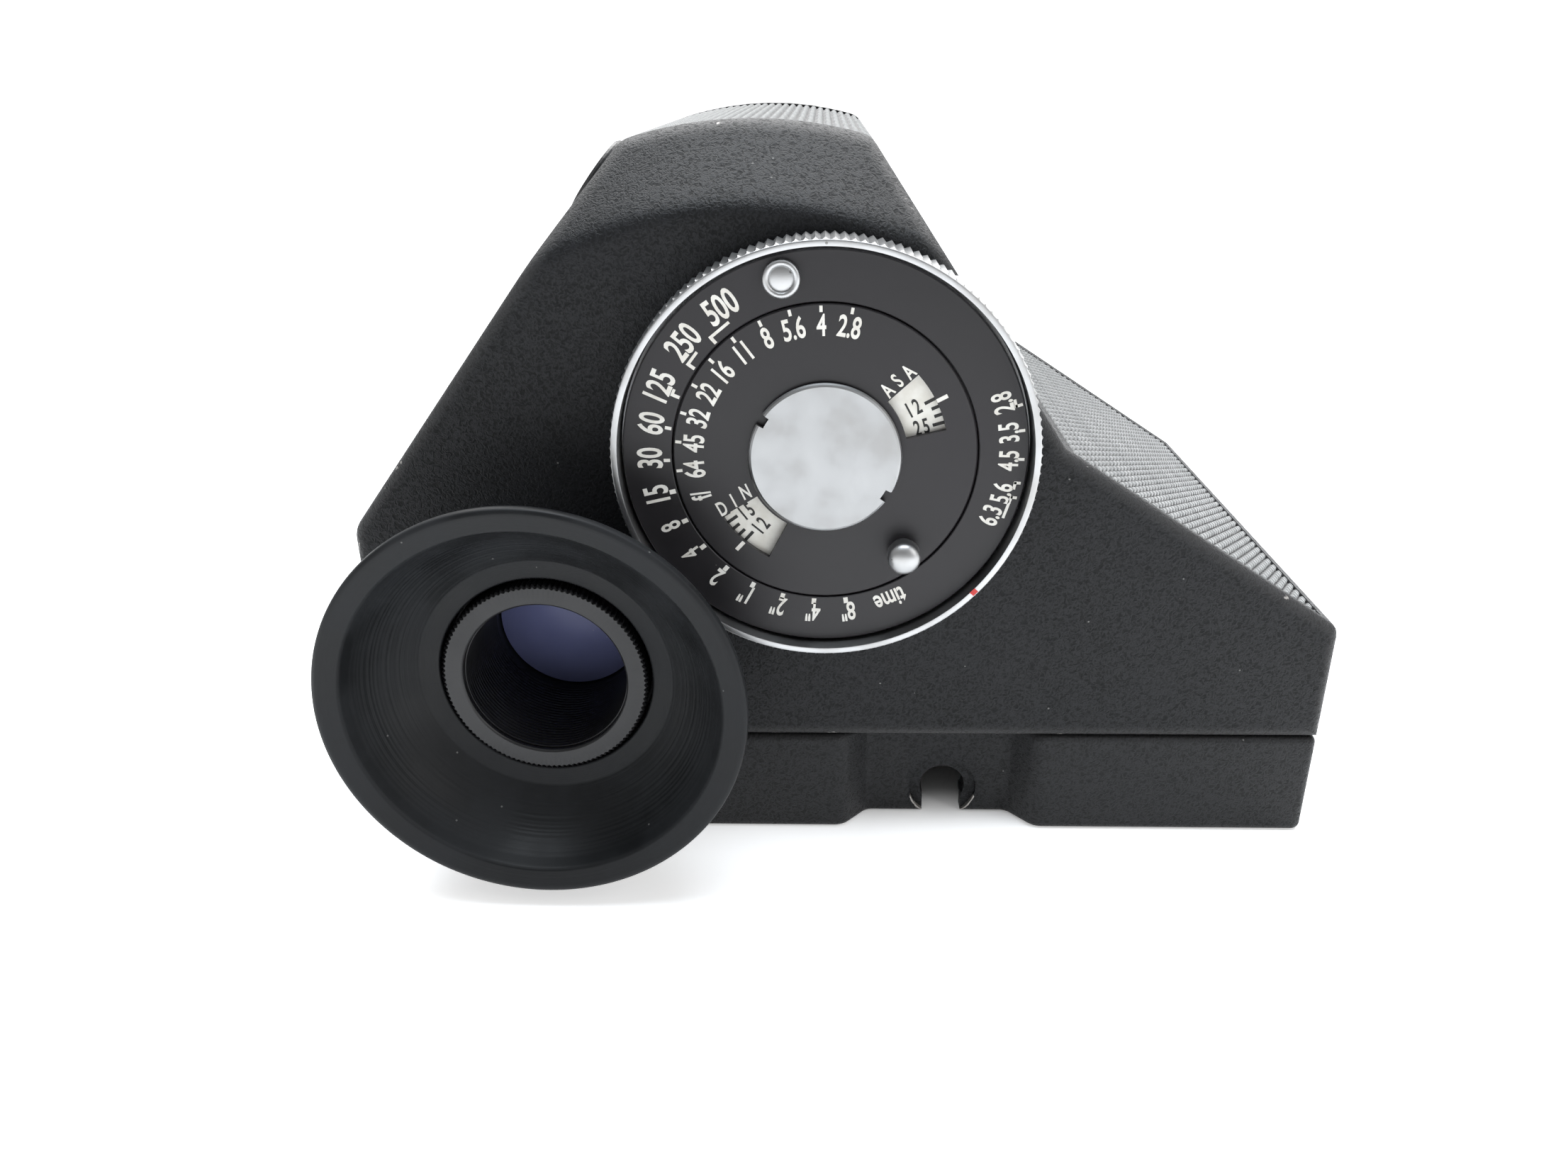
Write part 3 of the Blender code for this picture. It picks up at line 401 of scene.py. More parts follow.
# %% Group: turned lines
def build_turned_lines():
    """Height = noise of the distance from the y axis of Vector, every Spacing; Smudge is slow."""
    group, given, result = new_group("turned_lines", (("Vector", None), ("Spacing", 0.2), ("Blotch", 6.0)),
                                     ("Height", "Smudge"))
    parts = add_node(group, "SeparateXYZ", n0=given.outputs["Vector"])
    flat = add_node(group, "CombineXYZ", X=parts.outputs[0], Z=parts.outputs[2])
    radius = add_node(group, "VectorMath", {"operation": "LENGTH"}, n0=flat.outputs[0]).outputs["Value"]
    per_metre = maths(group, "DIVIDE", 1000.0, given.outputs["Spacing"])
    place = maths(group, "MULTIPLY", radius, per_metre)
    lines = add_node(group, "TexNoise", {"noise_dimensions": "1D"}, W=place, Scale=1.0, Detail=2.0)
    blotch = add_node(group, "TexNoise", {}, Vector=given.outputs["Vector"], Detail=3.0,
                      Scale=maths(group, "DIVIDE", 1000.0, given.outputs["Blotch"]))
    group.links.new(lines.outputs[0], result.inputs["Height"])
    group.links.new(blotch.outputs[0], result.inputs["Smudge"])
    return group


TURNED = build_turned_lines()


# %% [markdown]
# A cast or moulded edge loses its black first. The housing and base carry an attribute that
# is 1 on their edges, worked out with their shape, and a broken noise decides where the
# enamel has rubbed thin there.

# %% Group: rubbed edges
def build_rubbed_edges():
    """Mask = the edge attribute times the top part of a noise of that Spacing, above Cover."""
    inputs = (("Vector", None), ("Edge", 0.0), ("Spacing", 3.0), ("Cover", 0.5))
    group, given, result = new_group("rubbed_edges", inputs, ("Mask",))
    noise = add_node(group, "TexNoise", {}, Vector=given.outputs["Vector"], Detail=5.0, Roughness=0.65,
                     Scale=maths(group, "DIVIDE", 1000.0, given.outputs["Spacing"]))
    sum_up = maths(group, "ADD", noise.outputs[0], maths(group, "MULTIPLY", given.outputs["Edge"], 0.4))
    high = maths(group, "ADD", given.outputs["Cover"], 0.06)
    worn = add_node(group, "MapRange", {"interpolation_type": "SMOOTHSTEP"}, Value=sum_up,
                    From_Min=given.outputs["Cover"], From_Max=high).outputs[0]
    edge = remap(group, given.outputs["Edge"], 0.25, 0.9)
    group.links.new(maths(group, "MULTIPLY", worn, edge), result.inputs["Mask"])
    return group


RUBBED = build_rubbed_edges()


# %% [markdown]
# The catch on the camera rubs the rim of its hole. The bright mark there is an arc, thin and
# ragged, along the lower part of the rim.

# %% Group: worn arc
def build_worn_arc():
    """Mask = 1 near a circle of that Radius round the y axis of Vector, in its lower part and near
    y = 0, broken up by noise."""
    inputs = (("Vector", None), ("Radius", 0.004), ("Width", 0.0003))
    group, given, result = new_group("worn_arc", inputs, ("Mask",))
    parts = add_node(group, "SeparateXYZ", n0=given.outputs["Vector"]).outputs
    flat = add_node(group, "CombineXYZ", X=parts[0], Z=parts[2]).outputs[0]
    radius = add_node(group, "VectorMath", {"operation": "LENGTH"}, n0=flat).outputs["Value"]
    off = maths(group, "ABSOLUTE", maths(group, "SUBTRACT", radius, given.outputs["Radius"]))
    near = maths(group, "SUBTRACT", 1.0, maths(group, "DIVIDE", off, given.outputs["Width"]), True)
    low = remap(group, parts[2], -0.4 * MM, -1.8 * MM)
    level = remap(group, maths(group, "ABSOLUTE", parts[1]), 0.6 * MM, 0.35 * MM)
    noise = add_node(group, "TexNoise", {}, Vector=given.outputs["Vector"], Scale=1400.0, Detail=3.0)
    mask = maths(group, "MULTIPLY", maths(group, "MULTIPLY", near, low), level)
    ragged = remap(group, maths(group, "ADD", mask, noise.outputs[0]), 0.85, 1.05)
    group.links.new(maths(group, "MULTIPLY", ragged, level), result.inputs["Mask"])
    return group


WORN_ARC = build_worn_arc()
print("groups:", [g.name for g in bpy.data.node_groups])


# %% Material helper
def new_finish(name, roughness=0.5, metallic=0.0, specular=0.5, centre=None, **fixed):
    """A material with a Principled shader and a position input, centred on a point if given."""
    mat = bpy.data.materials.new(name)
    mat.use_nodes = True
    tree = mat.node_tree
    shader = tree.nodes["Principled BSDF"]
    shader.inputs["Roughness"].default_value = roughness
    shader.inputs["Metallic"].default_value = metallic
    shader.inputs["Specular IOR Level"].default_value = specular
    for key, value in fixed.items():
        shader.inputs[key.replace("_", " ")].default_value = value
    place = add_node(tree, "TexCoord").outputs["Object"]
    if centre is not None:
        shift = tuple(-to_world(centre))
        place = add_node(tree, "Mapping", {"vector_type": "POINT"}, Vector=place, Location=shift).outputs[0]
    return mat, tree, shader, place


def bump(tree, shader, height, depth_mm, strength=1.0):
    """A Bump node of a real depth that feeds the shader's normal."""
    made = add_node(tree, "Bump", {}, Height=height, Distance=depth_mm * MM, Strength=strength)
    tree.links.new(made.outputs[0], shader.inputs["Normal"])


def link(tree, value, shader, key):
    """A socket joined to one of a shader's inputs."""
    tree.links.new(value, shader.inputs[key])


# %% [markdown]
# ### Black enamels, rubber and plastics
# The casting's crinkle enamel is near black. Its crests are a painted highlight in lighter grey and its
# valleys painted shade in darker tones, and the valleys are duller than the crests. A little dust sits on it,
# a lighter grey along the edges is a painted highlight, and bright metal shows where edges are rubbed.

# %% Enamel
def make_enamel():
    mat, tree, shader, place = new_finish("crinkle_enamel", specular=0.20)
    wrinkle = use_group(tree, WRINKLES, Vector=place, Spacing=0.45, Fineness=2.1)
    slow = add_node(tree, "TexNoise", {}, Vector=place, Scale=90.0, Detail=3.0).outputs[0]
    valley = mix_colour(tree, remap(tree, slow, 0.3, 0.7), (0.0042, 0.0047, 0.0050), (0.0066, 0.0071, 0.0080))
    # Crests are mixed towards a lighter grey over the darker valleys: painted highlight on the crests and
    # painted shade in the valleys.
    high = maths(tree, "MULTIPLY", wrinkle["Crest"], 0.75)
    crest = mix_colour(tree, high, valley, (0.0165, 0.0172, 0.0195))
    dust = use_group(tree, DUST, Vector=place, Spacing=1.7, Size=0.055, Share=0.2)
    dusty = mix_colour(tree, maths(tree, "MULTIPLY", dust["Mask"], 0.6), crest, (0.22, 0.22, 0.21))
    edge = add_node(tree, "Attribute", {"attribute_name": "edge"}).outputs["Fac"]
    # A lighter grey along every edge is a painted highlight where the rounded edges catch the light; the
    # rubbed metal below is wear.
    soft = mix_colour(tree, maths(tree, "MULTIPLY", edge, 0.35), dusty, (0.085, 0.083, 0.082))
    rubbed = use_group(tree, RUBBED, Vector=place, Edge=edge, Spacing=2.4, Cover=0.99)
    shift = tuple(-to_world(KEYHOLE))
    catch = add_node(tree, "Mapping", {"vector_type": "POINT"}, Vector=place, Location=shift).outputs[0]
    arc = use_group(tree, WORN_ARC, Vector=catch, Radius=KEYHOLE_R[0] * MM, Width=0.30 * MM)
    bright = maths(tree, "MAXIMUM", rubbed["Mask"], arc["Mask"])
    colour = mix_colour(tree, bright, soft, (0.42, 0.40, 0.38))
    link(tree, colour, shader, "Base Color")
    link(tree, maths(tree, "MULTIPLY", bright, 0.8), shader, "Metallic")
    link(tree, remap(tree, wrinkle["Height"], 0.2, 1.3, 0.64, 0.40), shader, "Roughness")
    bump(tree, shader, wrinkle["Height"], 0.036, 1.0)
    return mat


# %% Covering, rubber, anodised metal and moulding
def make_leatherette():
    mat, tree, shader, place = new_finish("ribbed_leatherette", specular=0.5)
    lift = add_node(tree, "Attribute", {"attribute_name": "lift"}).outputs["Fac"]
    slow = add_node(tree, "TexNoise", {}, Vector=place, Scale=160.0, Detail=3.0).outputs[0]
    tint = mix_colour(tree, remap(tree, slow, 0.3, 0.7), (0.085, 0.092, 0.092), (0.115, 0.122, 0.122))
    # Groove points are near black and grain points lighter: painted shade in the grooves and painted
    # highlight on the grains, over a slow random tone.
    colour = mix_colour(tree, remap(tree, lift, 0.15, 0.9), (0.010, 0.010, 0.011), tint)
    link(tree, colour, shader, "Base Color")
    grain = add_node(tree, "TexNoise", {}, Vector=place, Scale=9000.0, Detail=2.0).outputs[0]
    link(tree, remap(tree, slow, 0.25, 0.75, 0.30, 0.42), shader, "Roughness")
    bump(tree, shader, grain, 0.012, 0.6)
    return mat


def make_rubber():
    mat, tree, shader, place = new_finish("eyecup_rubber", specular=0.22, centre=EYE)
    rings = use_group(tree, TURNED, Vector=place, Spacing=0.17, Blotch=7.0)
    smudge = remap(tree, rings["Smudge"], 0.35, 0.7)
    tint = mix_colour(tree, smudge, (0.0055, 0.0061, 0.0070), (0.0110, 0.0120, 0.0136))
    dust = use_group(tree, DUST, Vector=place, Spacing=1.9, Size=0.05, Share=0.28)
    dusty = mix_colour(tree, maths(tree, "MULTIPLY", dust["Mask"], 0.55), tint, (0.16, 0.16, 0.155))
    link(tree, dusty, shader, "Base Color")
    link(tree, remap(tree, rings["Smudge"], 0.25, 0.75, 0.40, 0.60), shader, "Roughness")
    bump(tree, shader, rings["Height"], 0.02, 0.7)
    return mat


def make_anodised():
    mat, tree, shader, place = new_finish("black_anodised", metallic=0.2, specular=0.5, centre=EYE)
    rings = use_group(tree, TURNED, Vector=place, Spacing=0.12, Blotch=5.0)
    tint = mix_colour(tree, rings["Smudge"], (0.008, 0.008, 0.009), (0.017, 0.017, 0.018))
    link(tree, tint, shader, "Base Color")
    link(tree, remap(tree, rings["Smudge"], 0.25, 0.75, 0.30, 0.46), shader, "Roughness")
    bump(tree, shader, rings["Height"], 0.006, 0.5)
    return mat


def make_dial_black():
    mat, tree, shader, place = new_finish("dial_black", specular=0.36, centre=DIAL)
    rings = use_group(tree, TURNED, Vector=place, Spacing=0.10, Blotch=9.0)
    smudge = remap(tree, rings["Smudge"], 0.3, 0.7)
    tint = mix_colour(tree, smudge, (0.0115, 0.0105, 0.0120), (0.0165, 0.0150, 0.0172))
    grit = use_group(tree, DUST, Vector=place, Spacing=2.1, Size=0.035, Share=0.3)
    dusty = mix_colour(tree, maths(tree, "MULTIPLY", grit["Mask"], 0.5), tint, (0.15, 0.145, 0.14))
    link(tree, dusty, shader, "Base Color")
    link(tree, remap(tree, rings["Smudge"], 0.25, 0.75, 0.34, 0.46), shader, "Roughness")
    bump(tree, shader, rings["Height"], 0.003, 0.35)
    return mat


def make_moulding():
    mat, tree, shader, place = new_finish("black_moulding", specular=0.4)
    grain = add_node(tree, "TexNoise", {}, Vector=place, Scale=2500.0, Detail=3.0).outputs[0]
    slow = add_node(tree, "TexNoise", {}, Vector=place, Scale=120.0, Detail=2.0).outputs[0]
    link(tree, mix_colour(tree, slow, (0.012, 0.012, 0.012), (0.024, 0.024, 0.024)), shader, "Base Color")
    link(tree, remap(tree, grain, 0.3, 0.7, 0.45, 0.62), shader, "Roughness")
    bump(tree, shader, grain, 0.01, 0.6)
    return mat


# %% [markdown]
# ### Bright metals
# Satin chrome, nickel and brass share one recipe: a metal whose turned lines spread the
# highlight, slow smudges that change its gloss, and a few brown stains.

# %% Bright metals
def make_metal(name, clean, stained, roughness, centre, spacing=0.09, lines=0.004, stains=0.35):
    mat, tree, shader, place = new_finish(name, metallic=1.0, centre=centre)
    rings = use_group(tree, TURNED, Vector=place, Spacing=spacing, Blotch=4.0)
    spots = use_group(tree, DUST, Vector=place, Spacing=1.5, Size=0.10, Share=0.14)
    fog = remap(tree, rings["Smudge"], 0.45, 0.75)
    tone = mix_colour(tree, maths(tree, "MULTIPLY", fog, stains), clean, stained)
    dark = tuple(c * 0.35 for c in stained)
    spotted = maths(tree, "MULTIPLY", spots["Mask"], 0.7)
    link(tree, mix_colour(tree, spotted, tone, dark), shader, "Base Color")
    low, high = roughness
    link(tree, remap(tree, rings["Smudge"], 0.25, 0.75, low, high), shader, "Roughness")
    bump(tree, shader, rings["Height"], lines, 0.4)
    return mat


# %% [markdown]
# ### Glass, mirrors, paint and small parts
# The eyepiece glass is drawn opaque: its dark violet-blue colour is a painted reflection of the coating over
# painted shade for the dark inside. Filled figures are matt paint with a slightly uneven tone.

# %% Glass, mirror, paints
def make_glass():
    mat, tree, shader, place = new_finish("coated_glass", roughness=0.30, specular=0.16, centre=EYE, IOR=1.5,
                                          Coat_Roughness=0.2)
    shader.inputs["Coat Tint"].default_value = (0.55, 0.5, 1.0, 1.0)
    shader.inputs["Coat Weight"].default_value = 0.08
    film = add_node(tree, "TexNoise", {}, Vector=place, Scale=180.0, Detail=2.0).outputs[0]
    specks = use_group(tree, DUST, Vector=place, Spacing=1.1, Size=0.06, Share=0.3)
    # Dark violet-blue colour on opaque glass: painted reflection of the coating over painted shade for the
    # inside, varied at random by noise.
    tint = mix_colour(tree, film, (0.125, 0.142, 0.27), (0.165, 0.180, 0.34))
    specked = maths(tree, "MULTIPLY", specks["Mask"], 0.5)
    link(tree, mix_colour(tree, specked, tint, (0.3, 0.3, 0.42)), shader, "Base Color")
    return mat


def make_paint(name, light, dark, roughness):
    """Matt paint or lacquer between two tones, with a fine orange-peel surface."""
    mat, tree, shader, place = new_finish(name, specular=0.4)
    slow = add_node(tree, "TexNoise", {}, Vector=place, Scale=700.0, Detail=4.0).outputs[0]
    link(tree, mix_colour(tree, remap(tree, slow, 0.35, 0.7), light, dark), shader, "Base Color")
    link(tree, remap(tree, slow, 0.3, 0.7, roughness - 0.06, roughness + 0.06), shader, "Roughness")
    bump(tree, shader, slow, 0.004, 0.4)
    return mat


FINISHES = {
    "crinkle_enamel": make_enamel(),
    "ribbed_leatherette": make_leatherette(),
    "eyecup_rubber": make_rubber(),
    "black_anodised": make_anodised(),
    "dial_black": make_dial_black(),
    "black_moulding": make_moulding(),
    "satin_chrome": make_metal("satin_chrome", (0.44, 0.445, 0.45), (0.34, 0.325, 0.305), (0.30, 0.42), DIAL),
    # The cap's chrome is the satin chrome in darker tones: painted shade on the cap.
    "cap_chrome_painted_shade": make_metal("cap_chrome_painted_shade", (0.34, 0.345, 0.35), (0.26, 0.25, 0.235), (0.34, 0.46), DIAL),
    "plated_steel": make_metal("plated_steel", (0.56, 0.55, 0.53), (0.36, 0.33, 0.29), (0.28, 0.45), DIAL),
    "brass": make_metal("brass", (0.70, 0.52, 0.24), (0.40, 0.27, 0.12), (0.28, 0.42), DIAL),
    "front_mirror": make_metal("front_mirror", (0.86, 0.88, 0.90), (0.70, 0.71, 0.72), (0.02, 0.07), DIAL,
                               lines=0.0002, stains=0.2),
    "magnet_alloy": make_paint("magnet_alloy", (0.16, 0.16, 0.165), (0.09, 0.09, 0.095), 0.55),
    "coated_glass": make_glass(),
    "scale_white": make_paint("scale_white", (0.80, 0.79, 0.74), (0.70, 0.68, 0.62), 0.55),
    "figure_white": make_paint("figure_white", (0.74, 0.73, 0.69), (0.64, 0.62, 0.57), 0.6),
    "figure_black": make_paint("figure_black", (0.02, 0.02, 0.02), (0.035, 0.033, 0.03), 0.6),
    "phenolic": make_paint("phenolic", (0.20, 0.10, 0.05), (0.12, 0.06, 0.03), 0.5),
    "needle_red": make_paint("needle_red", (0.50, 0.025, 0.02), (0.36, 0.018, 0.015), 0.42),
    "wire_red": make_paint("wire_red", (0.42, 0.03, 0.025), (0.30, 0.02, 0.02), 0.4),
    "wire_black": make_paint("wire_black", (0.02, 0.02, 0.02), (0.035, 0.035, 0.035), 0.4),
}
print("finishes:", len(FINISHES))

# %% [markdown]
# ## Floor and lights

# %% Sweep and softboxes
def make_sweep():
    """A floor that curves up behind: the profile runs flat along y, then a quarter circle, then
    straight up, and it is carried along x. It glows a little, evenly, and the glow is left out under the base
    as a painted shadow."""
    quarter = np.linspace(0.0, math.pi / 2, 24)
    bend, far, half = 0.9, 1.6, 4.0
    y = np.concatenate([[-2.5], far + bend * np.sin(quarter), [far + bend]])
    z = np.concatenate([[0.0], bend * (1 - np.cos(quarter)), [4.0]])
    x = np.array([-half, half])
    points = np.stack(np.broadcast_arrays(x[None, :], y[:, None], z[:, None]), axis=-1).reshape(-1, 3)
    mesh = bpy.data.meshes.new("pale_sweep")
    mesh.from_pydata(points, [], grid_faces(len(y), 2).tolist())
    mesh.shade_smooth()
    sweep = bpy.data.objects.new("pale_sweep", mesh)
    bpy.context.scene.collection.objects.link(sweep)
    mat, tree, shader, place = new_finish("pale_card", roughness=0.8, specular=0.2)
    tone = add_node(tree, "TexNoise", {}, Vector=place, Scale=6.0, Detail=2.0).outputs[0]
    link(tree, mix_colour(tree, tone, (0.93, 0.93, 0.93), (0.96, 0.96, 0.96)), shader, "Base Color")
    shader.inputs["Emission Strength"].default_value = 0.5
    # The glow is cut out over the base's footprint: a painted shadow under the base.
    painted_shadow_centre = tuple(-to_world((0.0, 30.0, 0.0)))
    spot = add_node(tree, "Mapping", {"vector_type": "POINT"}, Vector=place, Location=painted_shadow_centre).outputs[0]
    away = add_node(tree, "VectorMath", {"operation": "ABSOLUTE"}, n0=spot).outputs[0]
    parts = add_node(tree, "SeparateXYZ", n0=away).outputs
    sides = [remap(tree, parts[k], dark, dark + 0.01) for k, dark in ((0, 0.030), (1, 0.022))]
    link(tree, maths(tree, "MAXIMUM", *sides), shader, "Emission Color")
    mesh.materials.append(mat)


def make_panel(name, place, aim, size, power, tint=(1.0, 1.0, 1.0)):
    """A soft square panel at a place, facing a point, in metres and watts."""
    data = bpy.data.lights.new(name, "AREA")
    data.shape = "RECTANGLE"
    data.size, data.size_y = size
    data.energy = power
    data.color = tint
    lamp = bpy.data.objects.new(name, data)
    lamp.location = place
    lamp.rotation_euler = (Vector(aim) - Vector(place)).to_track_quat("-Z", "Y").to_euler()
    bpy.context.scene.collection.objects.link(lamp)


make_sweep()
make_panel("overhead_panel", (0.1, 0.55, 0.70), (0.0, 0.0, 0.03), (1.2, 0.8), 12.0)
make_panel("top_panel", (0.0, -0.05, 0.9), (0.0, 0.0, 0.03), (0.7, 0.5), 8.0, (0.86, 0.93, 1.0))
make_panel("right_panel", (0.8, -0.4, 0.5), (0.0, 0.0, 0.03), (0.5, 0.7), 2.4)
world = bpy.data.worlds.new("pale_room")
world.use_nodes = True
world.node_tree.nodes["Background"].inputs["Color"].default_value = (1.0, 1.0, 1.0, 1.0)
aim = add_node(world.node_tree, "SeparateXYZ", n0=add_node(world.node_tree, "TexCoord").outputs["Generated"])
link(world.node_tree, remap(world.node_tree, aim.outputs[1], -0.9, 0.4, 0.34, 0.62),
     world.node_tree.nodes["Background"], "Strength")
bpy.context.scene.world = world
bpy.context.scene.view_settings.view_transform = "Standard"

# %% [markdown]
# ## The housing
# The housing is one sand casting with soft edges. Seen from behind it has a straight-sided
# outline with a low arched ridge. Its outline is walked round in small steps, moved inwards by an
# inset where needed, and each section of the casting is one row of a grid: the rear face from
# its middle outwards, then the rounding, then the sides. The sloping band above the crease is
# a smooth ramp added to the depth, so the crease is as soft as a casting's.

# %% Outline
BODY_BOTTOM, BASE_HALF, BODY_LEFT = 11.4, 38.2, -58.2
SHOULDER_L, RIDGE_L = (-58.2, 34.2), (-31.1, 68.9)
RIDGE_TOP, RIDGE_R = (-19.65, 70.6), (-8.2, 69.0)
KNEE, SHOULDER_R = (10.1, 42.0), (38.2, 23.7)
DEPTH, SHELL_FRONT, WALL = 61.7, 59.9, 1.8
BAND_SLOPE, BAND_CREASE, BAND_SAG, CREASE_SOFT = 8.6 / 6.4, 64.1, 0.0135, 0.33


def ridge_arch(steps=12):
    """The ridge as a parabola through its two ends and its crown, ends left out."""
    t = np.linspace(0.0, 1.0, steps + 1)[1:-1]
    x = RIDGE_L[0] + (RIDGE_R[0] - RIDGE_L[0]) * t
    line = RIDGE_L[1] + (RIDGE_R[1] - RIDGE_L[1]) * t
    rise = RIDGE_TOP[1] - (RIDGE_L[1] + RIDGE_R[1]) / 2
    return np.stack([x, line + rise * 4 * t * (1 - t)], 1)


CORNERS = np.vstack([[(BODY_LEFT, BODY_BOTTOM), SHOULDER_L, RIDGE_L], ridge_arch(),
                     [RIDGE_R, KNEE, SHOULDER_R, (BASE_HALF, BODY_BOTTOM)]])
REACHES = np.concatenate([[0.0, 1.05, 0.8], np.full(11, 0.4), [0.85, 0.25, 0.9, 0.0]])


def closed_outline(reaches, clear):
    """The corners joined and softened, in steps of about a millimetre. Points nearer than clear
    to a sharp corner are left out, so that an inset doesn't fold there."""
    bent = soften(CORNERS, reaches, 5)
    points = fine(np.vstack([bent, bent[:1]]), 1.1)[:-1]
    gap = np.linalg.norm(points[:, None] - CORNERS[reaches == 0.0], axis=-1).min(1)
    apart = np.linalg.norm(points - np.roll(points, 1, axis=0), axis=1) > 0.1
    return points[((gap > clear) & apart) | (gap < 1e-3)]


OUTLINE, SHARP_OUTLINE = closed_outline(REACHES, 1.3), closed_outline(REACHES * 0.0, 2.5)
print("outline points:", len(OUTLINE))


def inset(points, amount):
    """Every side of the outline moved inwards by an amount, parallel to itself."""
    into = points - np.roll(points, 1, axis=0)
    out = np.roll(points, -1, axis=0) - points
    into = into / np.linalg.norm(into, axis=1, keepdims=True)
    out = out / np.linalg.norm(out, axis=1, keepdims=True)
    normal = np.stack([into[:, 1] + out[:, 1], -into[:, 0] - out[:, 0]], 1)
    return points + normal * (amount / (1 + (into * out).sum(1, keepdims=True)))


def band_ramp(x, z, drop=0.0):
    """How far the rear face lies back at a point: w log(1 + exp(rise / w)) times the slope."""
    aside = np.clip(x - RIDGE_TOP[0], -40.0, 34.0)
    rise = z - (BAND_CREASE - drop - BAND_SAG * aside ** 2)
    return BAND_SLOPE * CREASE_SOFT * np.logaddexp(0.0, rise / CREASE_SOFT)


def casting(outline, shift, rear, front, drop, edge_r, rings):
    """The outline lofted from a rear plane to a front plane, with the ramp and rounded rear edges."""
    centre = np.array([-15.0, 30.0])
    face = inset(outline, shift + edge_r)
    share = np.sin(np.linspace(0.0, math.pi / 2, rings))[:, None, None]
    rows = [centre + (face - centre) * share]
    heights = [np.zeros((rings, len(outline)))]
    turn = np.linspace(math.pi / 2, 0.0, 8)[1:]
    rows.append(np.stack([inset(outline, shift + edge_r * (1 - math.cos(t))) for t in turn]))
    heights.append(np.repeat(edge_r * (1 - np.sin(turn))[:, None], len(outline), 1))
    skin, height = np.concatenate(rows), np.concatenate(heights)
    depth = rear + height + band_ramp(skin[..., 0], skin[..., 1], drop)
    side = inset(outline, shift)
    along = np.concatenate([[0.008, 0.025], np.linspace(0.06, 1.0, 16)])[:, None]
    walls = depth[-1] + (front - depth[-1]) * along
    pole = np.broadcast_to(centre, (1, *side.shape))
    plan = np.concatenate([skin, np.repeat(side[None], len(along), 0), pole])
    depth = np.concatenate([depth, walls, np.full((1, len(outline)), front)])
    points = np.stack([plan[..., 0], depth, plan[..., 1]], -1)
    return points, grid_faces(len(points), len(outline), wrap_columns=True)


# %% [markdown]
# The two coverings lie in shallow pockets. Each follows a path along the outline, and the
# same path gives its pocket's cutter: a strip from just above the metal to the pocket's
# floor.

# %% Paths for the coverings
SKIN_T, POCKET, BORDER = 0.6, 0.8, 1.2
ROOF_BACK, SKIN_FRONT = 10.0, SHELL_FRONT - BORDER


def unit(start, end):
    """The direction from one point to another, of length 1."""
    span = np.subtract(end, start)
    return span / np.linalg.norm(span)


def open_path(knots, reaches, step):
    """A softened path through knots, in even steps, with its outward directions and its lengths."""
    bent = soften(np.array(knots, float), reaches, 9, closed=False)
    path = fine(bent, 0.05)
    lengths = np.concatenate([[0.0], np.cumsum(np.linalg.norm(np.diff(path, axis=0), axis=1))])
    even = np.linspace(0.0, lengths[-1], int(round(lengths[-1] / step)) + 1)
    path = np.stack([np.interp(even, lengths, path[:, k]) for k in (0, 1)], 1)
    run = np.gradient(path, axis=0)
    run /= np.linalg.norm(run, axis=1, keepdims=True)
    return path, np.stack([-run[:, 1], run[:, 0]], 1), even


UP_L, DOWN_R = unit(SHOULDER_L, RIDGE_L), unit(RIDGE_R, KNEE)
UP_R = unit(SHOULDER_R, KNEE)
SIDE_LENGTH = float(np.linalg.norm(np.subtract(KNEE, SHOULDER_R)))


def roof_knots(start, end):
    """The roof covering's path: up the left slope, over the ridge and down to above the knee."""
    first = np.add(SHOULDER_L, UP_L * start)
    last = np.subtract(KNEE, DOWN_R * end)
    return np.vstack([[first, RIDGE_L], ridge_arch(), [RIDGE_R, last]])


ROOF_REACH = np.concatenate([[0.1, 0.8], np.full(11, 0.4), [0.85, 0.1]])


def side_knots(start, end):
    """The side covering's path, from the knee down the shallow slope."""
    return np.array([np.add(SHOULDER_R, UP_R * (SIDE_LENGTH - end)), np.add(SHOULDER_R, UP_R * start)])


def strip(path, outward, above, below, ys):
    """A closed strip along a path between two ys; above and below are heights over the path, and
    above may vary from point to point as an array of (len(ys), len(path)). The underside is one
    row of long faces, and each end is a single many-sided face."""
    rows, columns = len(ys), len(path)
    above = np.broadcast_to(above, (rows, columns))
    top = path[None] + outward[None] * above[..., None]
    low = np.broadcast_to(path + outward * below, (2, columns, 2))
    sheets = [np.stack([s[..., 0], np.repeat(at[:, None], columns, 1), s[..., 1]], -1)
              for s, at in ((top, ys), (low, ys[[0, -1]]))]
    number = np.arange(rows * columns).reshape(rows, columns)
    under = np.arange(2 * columns).reshape(2, columns) + rows * columns
    back = np.stack([number[0, 1:], number[0, :-1], under[0, :-1], under[0, 1:]], -1)
    front = np.stack([number[-1, :-1], number[-1, 1:], under[1, 1:], under[1, :-1]], -1)
    bottom = grid_faces(2, columns)[:, ::-1] + rows * columns
    left = np.concatenate([number[:, 0], under[::-1, 0]])
    right = np.concatenate([number[::-1, -1], under[:, -1]])
    points = np.concatenate([sheet.reshape(-1, 3) for sheet in sheets])
    return points, [np.concatenate([grid_faces(rows, columns), bottom, back, front]), np.stack([left, right])]


# %% [markdown]
# The holes are cut with turned plugs and blocks, and the inside with a smaller casting. The
# edge attribute, for rubbed wear and a painted highlight along the edges, is worked out last,
# from how near each point lies to both the rear and the side of the casting, or to one of the
# long edges.

